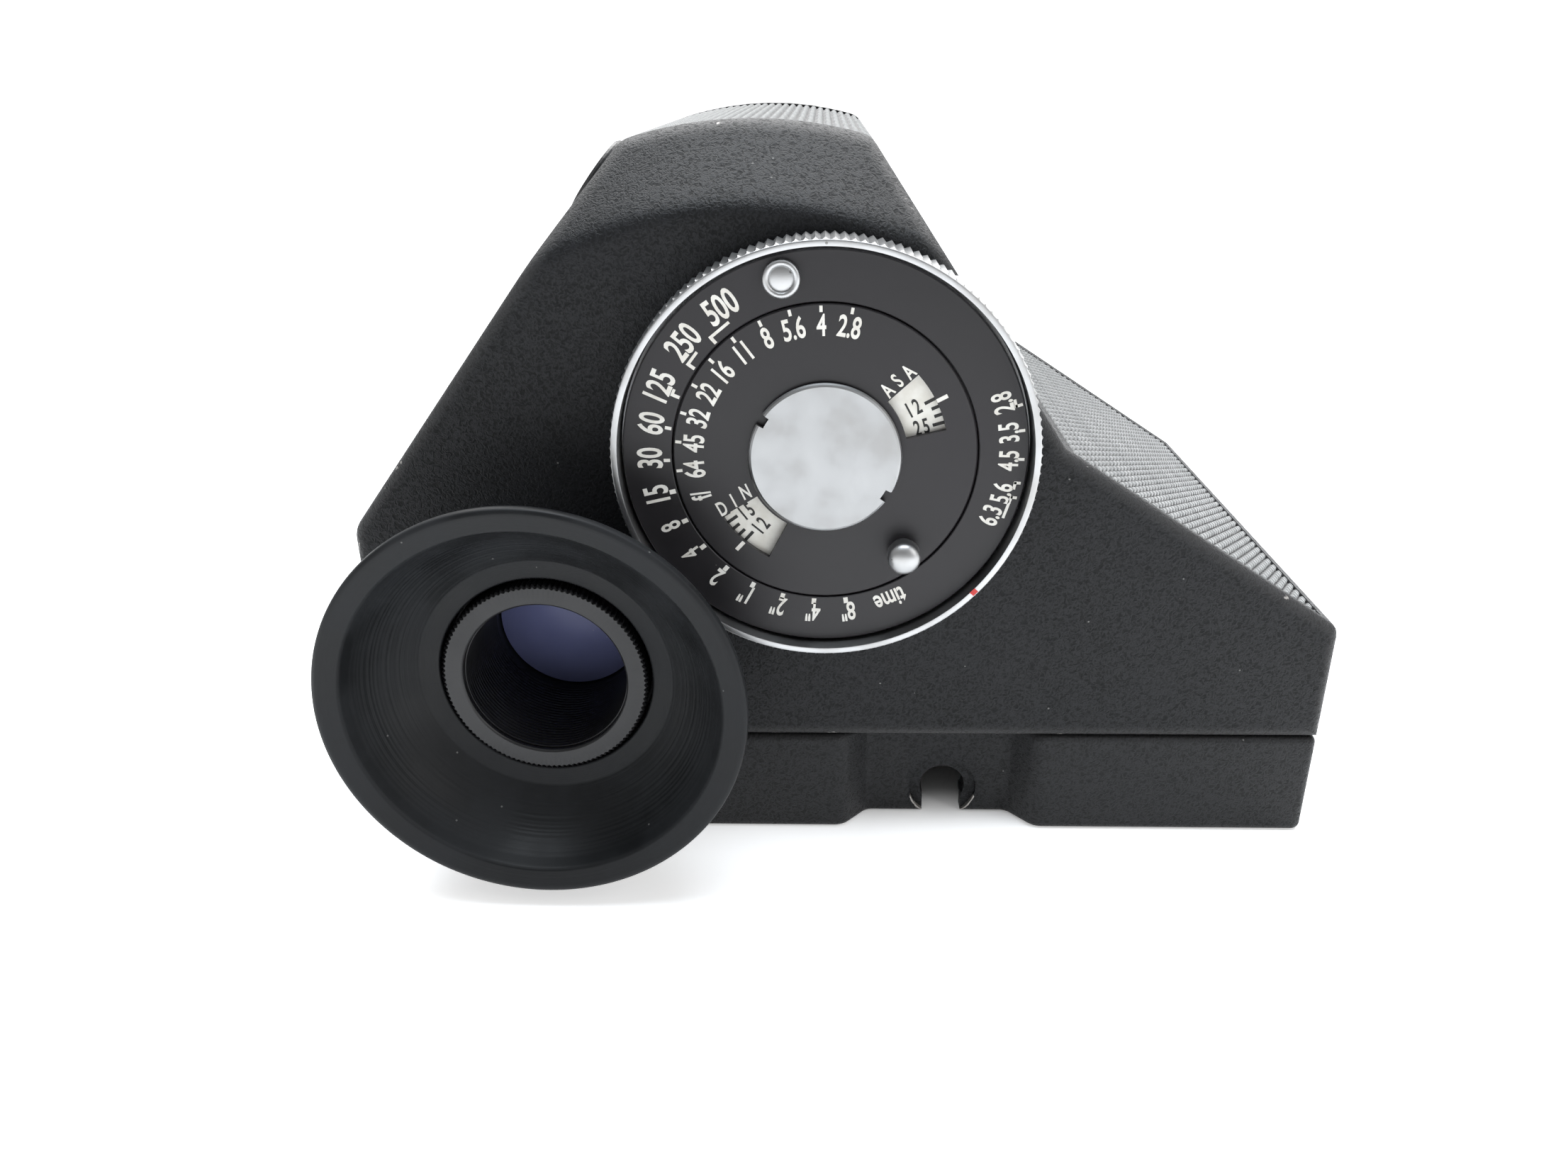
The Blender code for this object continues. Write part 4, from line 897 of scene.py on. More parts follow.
# %% Housing shell
def plug(centre, axis, radius, low, high, steps=96):
    """A cylinder as a cutter mesh, from low to high along its axis."""
    profile = [(0.0, high), (radius, high), (radius, low), (0.0, low)]
    return closed_mesh("plug", *turned(profile, centre, axis, steps, closed=False))


def block(low, high):
    """A box as a cutter mesh, between two corners."""
    corners = np.stack(np.meshgrid(*zip(low, high), indexing="ij"), -1).reshape(-1, 3)
    faces = [(0, 1, 3, 2), (4, 6, 7, 5), (0, 4, 5, 1), (2, 3, 7, 6), (0, 2, 6, 4), (1, 5, 7, 3)]
    return closed_mesh("block", corners, np.array(faces))


def distance_to(points, start, end):
    """The least distance in the plane from each point to the segments between start and end."""
    span = end - start
    t = ((points[:, None] - start) * span).sum(-1) / (span * span).sum(-1)
    near = start + span * np.clip(t, 0.0, 1.0)[..., None]
    return np.linalg.norm(points[:, None] - near, axis=-1).min(1)


def maker_points(mesh):
    """A mesh's points in the maker's millimetres."""
    points = np.empty(len(mesh.vertices) * 3, np.float32)
    mesh.vertices.foreach_get("co", points)
    return (points.reshape(-1, 3) - ORIGIN) / MM


def set_attribute(mesh, name, value):
    """One number for each point, for a finish to read."""
    mesh.attributes.new(name, "FLOAT", "POINT").data.foreach_set("value", value.astype(np.float32))


def edge_wear_and_highlight(mesh, reach=1.5):
    """Sets the edge attribute, which drives rubbed wear and a painted edge highlight: 1 on the outline's rear
    edge and long corners, 0 a reach away.
    """
    points = maker_points(mesh)
    plan = points[:, [0, 2]]
    outside = distance_to(plan, OUTLINE, np.roll(OUTLINE, -1, axis=0))
    behind = points[:, 1] - band_ramp(plan[:, 0], plan[:, 1])
    rear = 1 - step_up(np.maximum(outside, behind), 0.15, reach)
    bends = np.array([SHOULDER_L, RIDGE_L, RIDGE_R, SHOULDER_R, CORNERS[0], CORNERS[-1]])
    long_edges = 0.8 * (1 - step_up(np.linalg.norm(plan[:, None] - bends, axis=-1).min(1), 0.4, reach))
    inner = (behind > 2.5) & (outside > 1.0)
    set_attribute(mesh, "edge", np.where(inner, 0.0, np.maximum(rear, long_edges)))


EDGE_R = 0.95
shell = closed_mesh("shell", *casting(OUTLINE, 0.0, 0.0, SHELL_FRONT, 0.0, EDGE_R, 90))
inside_drop = WALL * math.hypot(1.0, BAND_SLOPE) / BAND_SLOPE
cavity = closed_mesh("cavity", *casting(SHARP_OUTLINE, WALL, WALL, DEPTH + 5.0, inside_drop, 0.3, 24))
RIGHT, FORWARD, UPWARD = (1.0, 0.0, 0.0), (0.0, 1.0, 0.0), (0.0, 0.0, 1.0)
battery_low, battery_high = node_box("battery_cap")
battery_axis = (battery_low + battery_high) / 2
KNOB_ALONG, KNOB_Y = 35.3, 36.0
RECESS_R, SPINDLE_HOLE, EYE_HOLE, BATTERY_HOLE, KNOB_HOLE = 17.9, 3.3, 8.9, 9.1, 1.8
knob_x, knob_z = np.add(SHOULDER_L, UP_L * KNOB_ALONG)
OUT_L = np.array([-UP_L[1], 0.0, UP_L[0]])
roof_path, roof_out, _ = open_path(roof_knots(2.0, 1.2), ROOF_REACH, 0.5)
side_path, side_out, _ = open_path(side_knots(2.0, 1.0), 0.1, 2.0)
shell = carved("fine_housing", shell, [
    cavity,
    plug(DIAL, FORWARD, RECESS_R, -2.0, 0.8),
    plug(DIAL, FORWARD, SPINDLE_HOLE, -2.0, 6.0),
    plug(EYE, FORWARD, EYE_HOLE, -2.0, 6.0),
    plug((BODY_LEFT, battery_axis[1], battery_axis[2]), RIGHT, BATTERY_HOLE, -4.0, 4.0),
    plug((knob_x, KNOB_Y, knob_z), OUT_L, KNOB_HOLE, -6.0, 6.0, 32),
    block((-28.5, 6.0, BODY_BOTTOM - 4.0), (28.5, 56.0, BODY_BOTTOM + 4.0)),
    closed_mesh("pocket", *strip(roof_path, roof_out, 3.0, -POCKET, np.array([ROOF_BACK, SKIN_FRONT]))),
    closed_mesh("pocket", *strip(side_path, side_out, 3.0, -POCKET, np.array([BORDER, SKIN_FRONT]))),
])
edge_wear_and_highlight(shell)
place_piece("fine_housing", shell, "crinkle_enamel", "housing", ["housing_shell"], 32)

# %% [markdown]
# The covering is a pressed sheet of small slanted grains. One family of grooves runs from back
# to front and the other crosses it at a slant, and the grains stand between them. On the slope
# beside the dial the slanting grooves are the wide ones, and on the roof the straight ones.
# Both are heights over the path, so the grains stay level with the metal round them.

# %% Ribbed coverings
RIB, CROSS, SKEW, RIB_DEPTH = 0.89, 0.98, 0.59, 0.30


def cord_height(u, v, widths):
    """Two families of grooves, |sin(pi u / RIB)| for those from back to front and
    |sin(pi (u - SKEW v) / CROSS)| for the slanting ones; 0 on the grains and -RIB_DEPTH in the
    grooves, which are as wide as the two widths say."""
    waves = np.abs(np.sin(math.pi * u / RIB)), np.abs(np.sin(math.pi * (u - SKEW * v) / CROSS))
    rise = [step_up(wave, 0.05, width) for wave, width in zip(waves, widths)]
    lift = rise[0] * rise[1]
    return -RIB_DEPTH * (1 - lift), lift


def ribbed(name, knots, reach, back, front, step, rows, widths):
    """A covering along a softened path: points a step apart along it, in rows from back to front."""
    path, outward, lengths = open_path(knots, reach, step)
    along = np.linspace(back, front, rows)
    height, lift = cord_height(lengths[None, :], along[:, None], widths)
    rim = np.zeros(height.shape, bool)
    rim[[0, -1], :] = rim[:, [0, -1]] = True
    height = np.where(rim, -0.3, height)
    points, faces = strip(path, outward, height, -SKIN_T, along)
    mesh = closed_mesh(name, points, faces, 1e-9)
    # The lift also sets the covering's colour: grooves and rim near black as painted shade, grains lighter as
    # painted highlight.
    set_attribute(mesh, "lift", np.concatenate([np.where(rim, 0.0, lift).ravel(), np.zeros(2 * len(path))]))
    return mesh


skin_back, skin_front = ROOF_BACK + GAP, SKIN_FRONT - GAP
side = ribbed("fine_side_covering", side_knots(2.0 + GAP, 1.0 + GAP), 0.1, BORDER + GAP, skin_front,
              step=RIB / 6.2, rows=400, widths=(0.45, 0.75))
place_piece("fine_side_covering", side, "ribbed_leatherette", "housing",
            ["side_covering"], 180)
roof = ribbed("fine_roof_covering", roof_knots(2.0 + GAP, 1.2 + GAP), ROOF_REACH, skin_back, skin_front,
              step=RIB / 6, rows=140, widths=(0.95, 0.35))
knob_plug = plug((knob_x, KNOB_Y, knob_z), OUT_L, KNOB_HOLE + GAP, -3.0, 3.0, 32)
roof = carved("fine_roof_covering", roof, [knob_plug])
place_piece("fine_roof_covering", roof, "ribbed_leatherette", "housing",
            ["roof_covering"], 180)

# %% [markdown]
# ## The base
# The base block drops onto the camera. It is a second casting with softer edges than the
# packed block's: its plan, with the notch for the catch, is inset and lifted in rows, first
# round the lower edge, then up the side, then round the upper edge. The opening for the
# picture, its lip and the stepped catch hole are cut afterwards.

# %% Base block
BASE_H, LIGHT_HALF, LIGHT_YS = 11.38, 28.5, (6.0, 56.0)
NOTCH_HALF, NOTCH_X = (10.1, 7.45), -0.2
BASE_ROUND = 0.75
base_plan = [(-BASE_HALF, 0.0), (-BASE_HALF, SHELL_FRONT), (BASE_HALF, SHELL_FRONT), (BASE_HALF, 0.0),
             (NOTCH_X + NOTCH_HALF[0], 0.0), (NOTCH_X + NOTCH_HALF[1], NOTCH_DEPTH),
             (NOTCH_X - NOTCH_HALF[1], NOTCH_DEPTH), (NOTCH_X - NOTCH_HALF[0], 0.0)]
base_bends = soften(base_plan, [1.1, 1.1, 1.1, 1.1, 1.0, 0.6, 0.6, 1.0], 7)
BASE_PLAN = fine(np.vstack([base_bends, base_bends[:1]]), 1.5)[:-1]
base_turn = np.linspace(math.pi / 2, 0.0, 7)
base_rows = [inset(BASE_PLAN, BASE_ROUND * (1 - math.cos(t))) for t in base_turn]
base_rise = BASE_ROUND * (1 - np.sin(base_turn))
base_middle = np.array([[0.0, SHELL_FRONT / 2]])
base_pole = np.broadcast_to(base_middle, BASE_PLAN.shape)
plan = np.stack([base_pole, *base_rows, *base_rows[::-1], base_pole])
rise = np.concatenate([[0.0], base_rise, BASE_H - base_rise[::-1], [BASE_H]])
points = np.concatenate([plan, np.broadcast_to(rise[:, None, None], (*plan.shape[:2], 1))], -1)
base = closed_mesh("base", points, grid_faces(len(plan), len(BASE_PLAN), wrap_columns=True))
SLOT_HALF = KEYHOLE_R[1] - 0.3
base = carved("fine_base", base, [
    block((-LIGHT_HALF, LIGHT_YS[0], -5.0), (LIGHT_HALF, LIGHT_YS[1], 20.0)),
    block((-31.0, 5.0, -2.0), (31.0, 58.0, 1.5)),
    plug(KEYHOLE, FORWARD, KEYHOLE_R[0], -2.0, 0.5),
    plug(KEYHOLE, FORWARD, KEYHOLE_R[1], -2.0, 6.0),
    block((KEYHOLE[0] - SLOT_HALF, 1.0, -3.0), (KEYHOLE[0] + SLOT_HALF, 9.0, KEYHOLE[2])),
    *(plug((x, y, 0.0), UPWARD, 1.9, -2.0, 1.8, 32) for x in (-34.0, 34.0) for y in (3.4, SHELL_FRONT - 3.4)),
])


def base_wear_and_highlight(mesh):
    """Sets the edge attribute on the base, for rubbed wear and a painted edge highlight: near two of its
    side, rear, upper and lower faces.
    """
    points = maker_points(mesh)
    outside = distance_to(points[:, :2], BASE_PLAN, np.roll(BASE_PLAN, -1, axis=0))
    level = np.minimum(points[:, 2], BASE_H - points[:, 2])
    rim = 1 - step_up(np.maximum(outside, level), 0.1, 1.2)
    set_attribute(mesh, "edge", np.where(level < 2.0, 0.5 * rim, rim))


base_wear_and_highlight(base)
place_piece("fine_base", base, "crinkle_enamel", "housing", ["base_frame"], 32)

# %% [markdown]
# ## The dial
# The ring that sets the meter reading is turned from bar, its edge knurled with straight
# teeth and its face left satin. The teeth are a triangle wave on the radius, which fades out
# over the chamfer so that the face keeps a round edge.

# %% Knurled ring
ring_low, ring_high = node_box("knurled_ring")
RING_R = (ring_high[0] - ring_low[0]) / 2
RING_FRONT = -ring_low[1]
RING_BORE = 18.55
RING_TEETH, TOOTH_DEPTH = 146, 0.30
seat = [(RING_R, 0.5), (18.2, 0.5), (18.2, 1.45), (SPINDLE_HOLE, 1.45), (SPINDLE_HOLE, 1.95),
        (RING_BORE, 1.95)]
face = [(RING_BORE, RING_FRONT), (RING_R - 0.24, RING_FRONT), (RING_R - 0.15, RING_FRONT - 0.1),
        (RING_R, RING_FRONT - 0.3)]
ring_profile = soften(face + seat, 0.08, 3)
knurl = teeth(RING_TEETH, TOOTH_DEPTH, RING_R - 0.2, RING_R - 0.02)
points, faces = turned(ring_profile, DIAL, TOWARDS_USER, RING_TEETH * 6, knurl)
new_piece("fine_knurled_ring", points, faces, "satin_chrome", "ring", ["knurled_ring"], 28)

# %% [markdown]
# The two black discs are flat plates, one of them with two windows. A plate is a grid of
# cells in radius and angle: each kept cell gives a front and a back face, and a wall stands
# wherever a kept cell meets an empty one. The front's height may differ with the radius,
# which makes chamfers.

# %% Plates with windows
def sector_plate(radii, fronts, back, degrees, kept, centre):
    """Front point (i, j) is radius i at angle j, at fronts[i] towards the user, and the back point
    lies under it. kept[i, j] says whether cell (i, j) holds material."""
    rows, columns = len(radii), len(degrees)
    angle = np.radians(degrees)[None, :]
    x = centre[0] + radii[:, None] * np.cos(angle)
    z = centre[2] + radii[:, None] * np.sin(angle)
    front = np.stack([x, -fronts[:, None] * np.ones_like(x), z], -1)
    rear = np.stack([x, -back * np.ones_like(x), z], -1)
    number = np.arange(rows * columns).reshape(rows, columns)
    ahead = np.roll(number, -1, axis=1)
    below = rows * columns
    i, j = np.nonzero(kept)
    top = np.stack([number[i, j], ahead[i, j], ahead[i + 1, j], number[i + 1, j]], -1)
    edges = np.pad(kept, ((1, 1), (0, 0)))
    outer = np.argwhere(edges[:-1] & ~edges[1:])
    inner = np.argwhere(~edges[:-1] & edges[1:])
    walls = [np.stack([number[o[:, 0], o[:, 1]], ahead[o[:, 0], o[:, 1]]], -1) for o in (outer, inner)]
    walls[1] = walls[1][:, ::-1]
    before = np.roll(kept, 1, axis=1)
    first = np.argwhere(kept & ~before)
    last = np.argwhere(before & ~kept)
    walls.append(np.stack([number[first[:, 0], first[:, 1]], number[first[:, 0] + 1, first[:, 1]]], -1))
    walls.append(np.stack([number[last[:, 0] + 1, last[:, 1]], number[last[:, 0], last[:, 1]]], -1))
    pairs = np.concatenate(walls)
    sides = np.concatenate([pairs, pairs[:, ::-1] + below], axis=1)
    faces = np.concatenate([top, top[:, ::-1] + below, sides])
    return np.concatenate([front.reshape(-1, 3), rear.reshape(-1, 3)]), faces


def plate_radii(low, high, wanted, count):
    """Even radii between two limits, together with those that windows and chamfers need."""
    return np.unique(np.concatenate([np.linspace(low, high, count), wanted]).round(4))


# %% Time disc and aperture disc
disc_front = -node_box("aperture_disc")[0][1]
time_low, time_high = node_box("time_disc")
TIME_R = (time_high[0] - time_low[0]) / 2
APERTURE_R = 13.7
HOLE_R = APERTURE_R + 0.12
CHAMFER = 0.14
WINDOWS = ((7.45, 11.05, 13.0, 42.5), (7.2, 11.0, 211.0, 242.0))

time_profile = [(TIME_R, disc_front - CHAMFER), (TIME_R, 2.15), (SPINDLE_HOLE, 2.15), (SPINDLE_HOLE, 2.4),
                (HOLE_R, 2.4), (HOLE_R, disc_front - CHAMFER / 2), (HOLE_R + CHAMFER / 2, disc_front),
                (TIME_R - CHAMFER, disc_front)]
points, faces = turned(time_profile, DIAL, TOWARDS_USER, 240)
new_piece("fine_time_disc", points, faces, "dial_black", "time_disc", ["time_disc"], 25)

degrees = np.arange(0.0, 360.0, 0.5)
radii = plate_radii(SPINDLE_HOLE, APERTURE_R, [w for low, high, _, _ in WINDOWS for w in (low, high)]
                    + [APERTURE_R - CHAMFER], 8)
middle_r = (radii[:-1, None] + radii[1:, None]) / 2
middle_a = degrees[None, :] + 0.25
kept = np.ones((len(radii) - 1, len(degrees)), bool)
for low, high, first, last in WINDOWS:
    kept &= ~((middle_r > low) & (middle_r < high) & (middle_a > first) & (middle_a < last))
fronts = np.where(radii > APERTURE_R - CHAMFER / 2, disc_front - CHAMFER, disc_front)
points, faces = sector_plate(radii, fronts, 3.05, degrees, kept, DIAL)
new_piece("fine_aperture_disc", points, faces, "dial_black", "aperture_disc",
          ["aperture_disc"], 25)

# %% [markdown]
# The cap over the spindle is a bright disc with two notches for a pin wrench. It is the same
# kind of plate, with a rounded rim and the notches left out of its outermost cells.

# %% Centre cap
cap_low, cap_high = node_box("centre_cap")
CAP_R = (cap_high[0] - cap_low[0]) / 2
CAP_FRONT = -cap_low[1]
cap_back = -cap_high[1]
NOTCHES = (147.5, 328.0)
NOTCH_R, NOTCH_HALF = 6.2, 4.5
radii = plate_radii(0.02, CAP_R, [NOTCH_R, CAP_R - 0.3, CAP_R - 0.12], 8)
fall = np.clip((radii - (CAP_R - 0.3)) / 0.3, 0.0, 1.0)
fronts = CAP_FRONT - 0.28 * fall ** 2
kept = np.ones((len(radii) - 1, len(degrees)), bool)
middle_r = (radii[:-1, None] + radii[1:, None]) / 2
for turn in NOTCHES:
    kept &= ~((middle_r > NOTCH_R) & (np.abs(middle_a - turn) < NOTCH_HALF))
points, faces = sector_plate(radii, fronts, cap_back, degrees, kept, DIAL)
# The cap takes a darker copy of the satin chrome, as painted shade.
new_piece("fine_centre_cap", points, faces, "satin_chrome", "housing", ["centre_cap"], 25, "cap_chrome_painted_shade")

# %% [markdown]
# The finger pin turns the aperture disc. It is a short stud with a domed head. The index
# button holds the film-speed setting, and its head is dished round a flat middle.

# %% Pin and button
def stud(name, node, profile, body, steps=72):
    """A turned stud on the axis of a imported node."""
    points, faces = turned(profile, axis_point(node), TOWARDS_USER, steps, closed=False)
    return new_piece(name, points, faces, "satin_chrome", body, [node], 40)


dome = np.linspace(0.0, math.pi / 2, 12)
pin_top = -node_box("finger_pin")[0][1]
pin_head = np.stack([1.5 * np.sin(dome), pin_top - 0.95 + 0.95 * np.cos(dome)], 1)
pin_stem = [(1.5, 4.5), (1.42, 4.35), (1.2, 4.3), (1.2, disc_front), (0.0, disc_front)]
stud("fine_finger_pin", "finger_pin", np.vstack([pin_head, pin_stem]), "aperture_disc")

button_top = -node_box("index_button")[0][1]
roll = np.linspace(0.0, math.pi, 10)
button_lip = np.stack([1.34 - 0.3 * np.cos(roll), button_top - 0.3 + 0.3 * np.sin(roll)], 1)
button_dish = [(0.0, button_top - 0.22), (0.78, button_top - 0.2), (0.95, button_top - 0.28)]
button = np.vstack([button_dish, button_lip, [(1.64, disc_front), (0.0, disc_front)]])
stud("fine_index_button", "index_button", button, "time_disc")

# %% [markdown]
# ## Figures and marks
# Engraved figures are filled with paint, level with the disc. Text is made a mesh, narrowed
# to the tall shape of engraved lettering, and laid on the disc at a radius and an angle.
# Ticks and leader lines are short strokes between two points given as radius and angle.

# %% Lettering on a disc
ENGRAVED = 0.02
NARROW = 0.64


def letters(text, height, narrow=NARROW, spacing=1.0):
    """Points (x right, y up, z out) and triangles of a centred text with capitals of that height."""
    curve = bpy.data.curves.new("lettering", "FONT")
    curve.body = text
    curve.size = height / 0.729
    curve.align_x, curve.align_y = "CENTER", "CENTER"
    curve.resolution_u = 4
    curve.offset = 0.028 * height
    curve.extrude = ENGRAVED / 2
    curve.space_character = spacing
    drawn = bpy.data.objects.new("lettering", curve)
    bpy.context.scene.collection.objects.link(drawn)
    bpy.context.view_layer.update()
    mesh = bpy.data.meshes.new_from_object(drawn.evaluated_get(bpy.context.evaluated_depsgraph_get()))
    mesh.calc_loop_triangles()
    points = np.empty(len(mesh.vertices) * 3)
    mesh.vertices.foreach_get("co", points)
    triangles = np.empty(len(mesh.loop_triangles) * 3, int)
    mesh.loop_triangles.foreach_get("vertices", triangles)
    bpy.data.objects.remove(drawn)
    bpy.data.curves.remove(curve)
    bpy.data.meshes.remove(mesh)
    points = points.reshape(-1, 3)
    points[:, :2] -= (points[:, :2].min(0) + points[:, :2].max(0)) / 2
    return points * (narrow, 1.0, 1.0), triangles.reshape(-1, 3)


READING = {"out": -90.0, "in": 90.0, "along": 0.0, "back": 180.0}


def laid(points, radius, degrees, reading, front, centre=DIAL):
    """Text points on a disc: the reading says which way the text runs from its own angle."""
    at, run = np.radians(degrees), np.radians(degrees + READING[reading])
    x = centre[0] + radius * math.cos(at) + points[:, 0] * math.cos(run) - points[:, 1] * math.sin(run)
    z = centre[2] + radius * math.sin(at) + points[:, 0] * math.sin(run) + points[:, 1] * math.cos(run)
    return np.stack([x, -front - ENGRAVED / 2 - points[:, 2], z], -1)


BOX_FACES = np.array([(0, 1, 3), (0, 3, 2), (4, 7, 5), (4, 6, 7), (0, 5, 1), (0, 4, 5),
                      (2, 3, 7), (2, 7, 6), (0, 2, 6), (0, 6, 4), (1, 5, 7), (1, 7, 3)])


def stroke(start, end, width, front, centre=DIAL):
    """A flat bar between two points given as (radius, degrees), a width across and a paint deep."""
    ends = np.array([(r * math.cos(math.radians(a)), r * math.sin(math.radians(a))) for r, a in (start, end)])
    along = (ends[1] - ends[0]) / np.linalg.norm(ends[1] - ends[0])
    side = np.array([-along[1], along[0]]) * width / 2
    flat = np.array([ends[0] - side, ends[0] + side, ends[1] - side, ends[1] + side])
    points = np.zeros((8, 3))
    points[:, 0] = np.tile(flat[:, 0], 2) + centre[0]
    points[:, 2] = np.tile(flat[:, 1], 2) + centre[2]
    points[:, 1] = np.repeat([-front, -front - ENGRAVED], 4)
    return points, BOX_FACES


def join_marks(name, marks, finish, body, slot="scale_white"):
    """Many small meshes become one piece, each one's faces shifted past the points before it."""
    counts = np.cumsum([0] + [len(points) for points, _ in marks[:-1]])
    points = np.concatenate([points for points, _ in marks])
    faces = np.concatenate([faces + shift for (_, faces), shift in zip(marks, counts)])
    return new_piece(name, points, faces, slot, body, finish=finish, weld=1e-8)


# %% [markdown]
# The aperture scale steps one stop at a time, and so does the scale of times around it. The
# three fastest times are too wide for the step, so each has a leader line down to its mark.

# %% The three scales
F_STEP, F_FIRST = 11.72, 79.8
f_marks = []
for k, text in enumerate(("2.8", "4", "5.6", "8", "11", "16", "22", "32", "45", "64")):
    shape, tris = letters(text, 1.9)
    f_marks.append((laid(shape, 11.85, F_FIRST + F_STEP * k, "out", disc_front), tris))
    at = F_FIRST + F_STEP * k
    f_marks.append(stroke((12.95, at), (13.5, at), 0.27, disc_front))
shape, tris = letters("f/", 1.85)
f_marks.append((laid(shape, 11.85, F_FIRST + F_STEP * 10 + 0.6, "out", disc_front), tris))
ASA_AT, DIN_AT = 27.5, 227.5
for index_r, index_a in ((11.08, ASA_AT), (11.1, DIN_AT)):
    f_marks.append(stroke((index_r, index_a), (index_r + 1.05, index_a), 0.36, disc_front))
window_letters = (("A", 8.2, 48.3, "along"), ("S", 9.4, 47.9, "along"), ("A", 10.62, 46.9, "along"),
                  ("D", 10.6, 207.3, "back"), ("I", 9.32, 206.1, "back"), ("N", 7.95, 204.2, "back"))
for text, radius, at, reading in window_letters:
    shape, tris = letters(text, 1.4, 0.62)
    f_marks.append((laid(shape, radius, at, reading, disc_front), tris))
join_marks("aperture_figures", f_marks, "figure_white", "aperture_disc")

T_STEP, T_FIRST = 12.14, 132.4
times = (("500", 123.6, 16.16), ("250", 139.6, 16.15), ("125", 155.5, 16.0), ("60", 168.2, 15.85),
         ("30", 180.0, 15.8), ("15", 192.6, 15.75), ("8", 204.9, 15.7), ("4", 216.8, 15.6),
         ("2", 229.1, 15.55), ("1\"", 240.9, 15.45), ("2\"", 253.3, 15.4), ("4\"", 265.9, 15.4),
         ("8\"", 278.4, 15.45), ("time", 294.0, 15.3))
t_marks = []
for text, at, radius in times:
    shape, tris = letters(text, 2.3 if text[-1] in "05" and len(text) > 1 else 1.9)
    t_marks.append((laid(shape, radius, at, "out", disc_front), tris))
for k in range(13):
    at = T_FIRST + T_STEP * k
    t_marks.append(stroke((13.97, at), (14.55, at), 0.3 if k < 5 else 0.42, disc_front))
for figure, (start, end) in enumerate(((124.2, 132.4), (139.3, 144.5), (154.6, 156.7))):
    at = T_FIRST + T_STEP * figure
    t_marks.append(stroke((14.68, start), (14.68, at + 0.55), 0.26, disc_front))
lens_figures = (("2.8", 17.6, 16.35), ("3.5", 7.8, 16.45), ("4.5", -1.3, 16.45), ("5.6", -12.0, 16.35),
                ("6.3", -20.2, 16.1))
for text, at, radius in lens_figures:
    shape, tris = letters(text, 1.8)
    t_marks.append((laid(shape, radius, at, "in", disc_front), tris))
lens_ticks = (((17.35, 15.4), (18.0, 15.5)), ((17.35, 7.9), (17.9, 7.9)), ((17.25, -0.75), (17.85, -0.75)),
              ((17.25, -8.1), (17.85, -8.0)), ((17.3, -12.7), (17.85, -12.6)),
              ((17.42, 17.5), (17.42, 15.0)), ((17.35, -7.8), (17.35, -10.2)),
              ((17.35, -12.3), (17.3, -19.7)))
for start, end in lens_ticks:
    t_marks.append(stroke(start, end, 0.26, disc_front))
join_marks("time_figures", t_marks, "figure_white", "time_disc")

# %% [markdown]
# The film-speed disc turns with the time disc under the two windows. Its figures are black
# on off-white. They lie in two arcs, one for each window.

# %% Film speeds and the red index
speed_front = -node_box("film_speed_disc")[0][1]
s_marks = []
for k, text in enumerate(("12", "25", "50", "100", "200", "400")):
    at = 28.7 - 12.3 * k
    shape, tris = letters(text, 1.45, 0.62, 1.3)
    s_marks.append((laid(shape, 9.0, at, "along", speed_front), tris))
for k, text in enumerate(("12", "15", "18", "21", "24", "27")):
    at = 228.9 - 12.0 * k
    shape, tris = letters(text, 1.45, 0.62, 1.3)
    s_marks.append((laid(shape, 9.0, at, "back", speed_front), tris))
for first in (27.9, 228.2):
    for k in range(16):
        at = first - 4.06 * k
        s_marks.append(stroke((10.0 if k % 3 == 0 else 10.35, at), (11.3, at), 0.3, speed_front))
join_marks("film_speed_figures", s_marks, "figure_black", "time_disc")
points, faces = stroke((RING_BORE - 0.02, -42.4), (RING_R - 0.28, -42.4), 0.62, RING_FRONT)
new_piece("red_index", points, faces, "needle_red", "ring")

# %% [markdown]
# ## The eyepiece
# The eyecup is one rubber moulding: a floor held under the ring, a flared cone and a rolled
# rim. Its half section is softened at each corner and turned. The mould was turned too, so
# its inside carries fine steps, which are a small wave on the radius.

# %% Eyecup
CUP_R, CUP_RIM, RETAINER_R = 19.8, 13.8, 9.9
cup = [(17.35, 13.05), (17.55, 13.3), (19.25, CUP_RIM), (19.7, 13.6), (CUP_R, 12.95), (19.4, 12.2),
       (17.6, 10.6), (14.9, 7.6), (13.2, 5.0), (12.6, 2.75), (8.9, 2.75), (8.9, 3.7),
       (RETAINER_R + GAP, 3.7), (RETAINER_R + GAP, 6.5), (12.1, 6.7), (12.5, 7.0), (14.0, 8.2),
       (15.6, 9.9), (16.8, 11.8)]
cup_reach = [0.12, 0.12, 0.3, 0.25, 0.5, 0.8, 1.2, 1.2, 1.0, 0.3, 0.2, 0.2, 0.2, 0.25, 0.15, 0.2, 1.0,
             1.2, 0.8]
cup_profile = soften(cup, cup_reach, 6)
cup_profile = fine(np.vstack([cup_profile, cup_profile[:1]]), 0.09)[:-1]
inside_start = int(np.argmin(np.linalg.norm(cup_profile - (12.5, 7.0), axis=1)))


def mould_steps(angle, radius, height):
    """The radius moves by a sum of three sines of the height, on the cone's inner side only."""
    row = np.arange(len(cup_profile))[:, None]
    fade = step_up(radius, 12.5, 13.2) * (1 - step_up(radius, 15.9, 16.8)) * (row >= inside_start)
    waves = sum(np.sin(height * math.tau / pitch) for pitch in (0.31, 0.43, 0.57))
    return 0.0055 * waves * fade


points, faces = turned(cup_profile, EYE, TOWARDS_USER, 200, mould_steps)
new_piece("fine_eyecup", points, faces, "eyecup_rubber", "housing", ["rubber_eyecup"], 50)

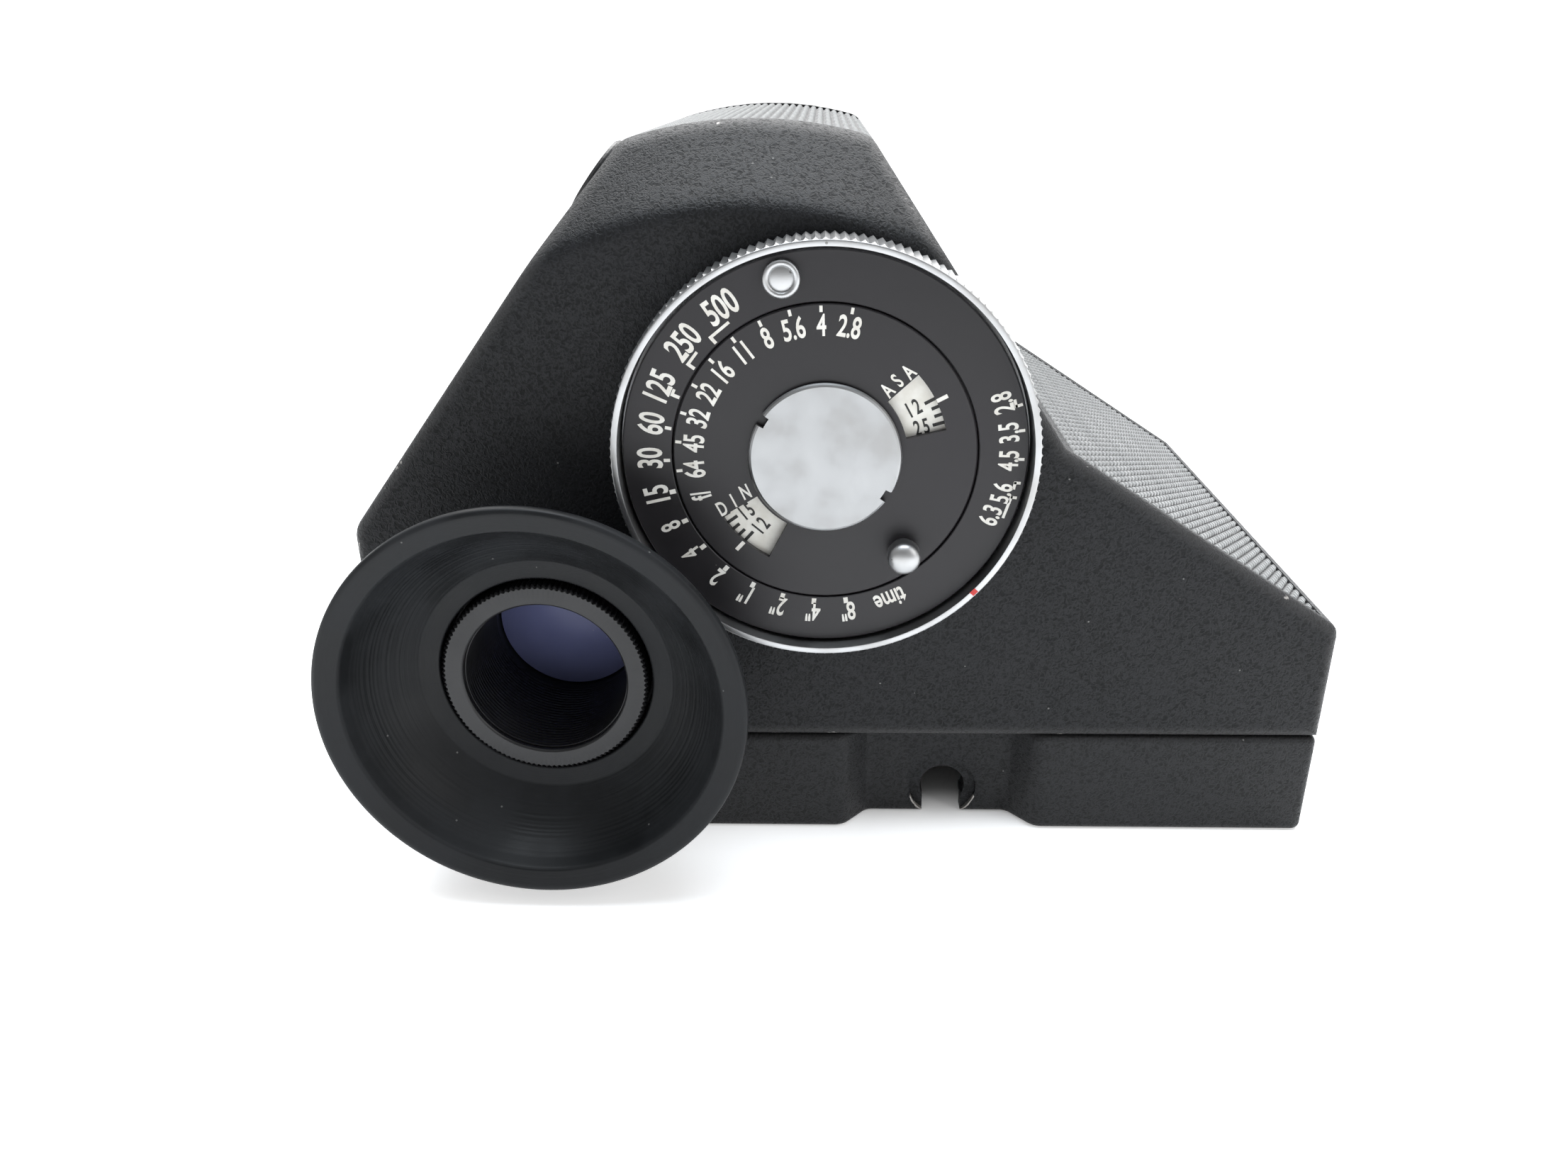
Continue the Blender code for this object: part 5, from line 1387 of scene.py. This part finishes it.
# %% [markdown]
# The retaining ring screws down on the rubber and has fine teeth for the fingers. The barrel
# behind it is threaded inside to kill glare: close rings cut into the bore.

# %% Retaining ring, barrel and lens
cap_ring = [(8.0, 7.2), (RETAINER_R - 0.22, 7.2), (RETAINER_R, 6.98), (RETAINER_R, 4.0), (8.9, 4.0),
            (8.9, 6.7), (7.8, 6.7), (7.8, 7.0)]
RETAINER_TEETH = 120
ring_teeth = teeth(RETAINER_TEETH, 0.24, RETAINER_R - 0.4, RETAINER_R - 0.2)
points, faces = turned(soften(cap_ring, 0.08, 4), EYE, TOWARDS_USER, RETAINER_TEETH * 6, ring_teeth)
new_piece("fine_retaining_ring", points, faces, "black_anodised", "retaining_ring",
          ["retaining_ring"], 28)

BORE_R, LIP_H = 7.7, 12.0
barrel = np.array([(BORE_R, -6.5), (8.6, -6.5), (8.6, -2.4), (11.6, -2.4), (11.6, -0.3), (8.6, -0.3),
                   (8.6, LIP_H), (7.2, LIP_H), (7.2, 11.6), (BORE_R, 11.6)])
barrel[:, 1] *= -1.0
print("barrel runs", barrel[:, 1].min(), "to", barrel[:, 1].max(), "mm along the view")
barrel_bends = soften(barrel, 0.06, 3)
barrel_profile = fine(np.vstack([barrel_bends, barrel_bends[:1]]), 0.1)[:-1]


def bore_rings(angle, radius, height):
    """Rings in the bore: the radius grows by 0.09 |sin| every 0.5 mm, inside 7.8 mm only."""
    return 0.09 * np.abs(np.sin(height * math.pi / 0.5)) * (radius < 7.8) * (height < 11.0) * (height > -5.0)


points, faces = turned(barrel_profile, EYE, TOWARDS_USER, 120, bore_rings)
new_piece("fine_eyepiece_barrel", points, faces, "black_anodised", "housing",
          ["eyepiece_barrel"], 40)

lens_front = -node_box("eye_lens")[0][1]
lens_back = -node_box("eye_lens")[1][1]
LENS_R = BORE_R - 0.15
bulge = np.linspace(0.0, 1.0, 16)
lens_profile = np.vstack([np.stack([LENS_R * bulge, lens_front - 0.9 * bulge ** 2], 1),
                          [(LENS_R, lens_back + 0.15), (LENS_R - 0.2, lens_back), (0.0, lens_back)]])
points, faces = turned(lens_profile, EYE, TOWARDS_USER, 96, closed=False)
new_piece("fine_eye_lens", points, faces, "coated_glass", "housing", ["eye_lens"], 40)

# %% [markdown]
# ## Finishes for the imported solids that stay
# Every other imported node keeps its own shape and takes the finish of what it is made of.

# %% Finish the rest
KEPT = {
    "crinkle_enamel": ("front_cover",),
    "black_anodised": ("lens_spacer", "dial_seat", "switch_knob"),
    "satin_chrome": ("battery_cap",),
    "scale_white": ("film_speed_disc",),
    "coated_glass": ("field_lens",),
    "front_mirror": ("main_mirror", "side_mirror", "eyepiece_mirror"),
    "black_moulding": ("main_mirror_holder", "side_mirror_holder", "eyepiece_mirror_bracket",
                       "battery_chamber"),
    "plated_steel": ("button_cell", "contact_spring", *(f"cover_screw_{k}" for k in range(1, 5)),
                     *(f"base_screw_{k}" for k in range(1, 5))),
    "brass": ("dial_spindle", "wiper", "meter_coil", "meter_bridge", "cell_arm"),
    "magnet_alloy": ("meter_magnet",),
    "phenolic": ("resistor_track", "photocell"),
    "needle_red": ("meter_needle",),
    "wire_red": ("wire_positive",),
    "wire_black": ("wire_negative",),
}
for slot, nodes in KEPT.items():
    for node in nodes:
        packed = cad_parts[node]
        packed.data.materials.clear()
        packed.data.materials.append(FINISHES[slot])
print("packed nodes finished:", sum(len(nodes) for nodes in KEPT.values()))
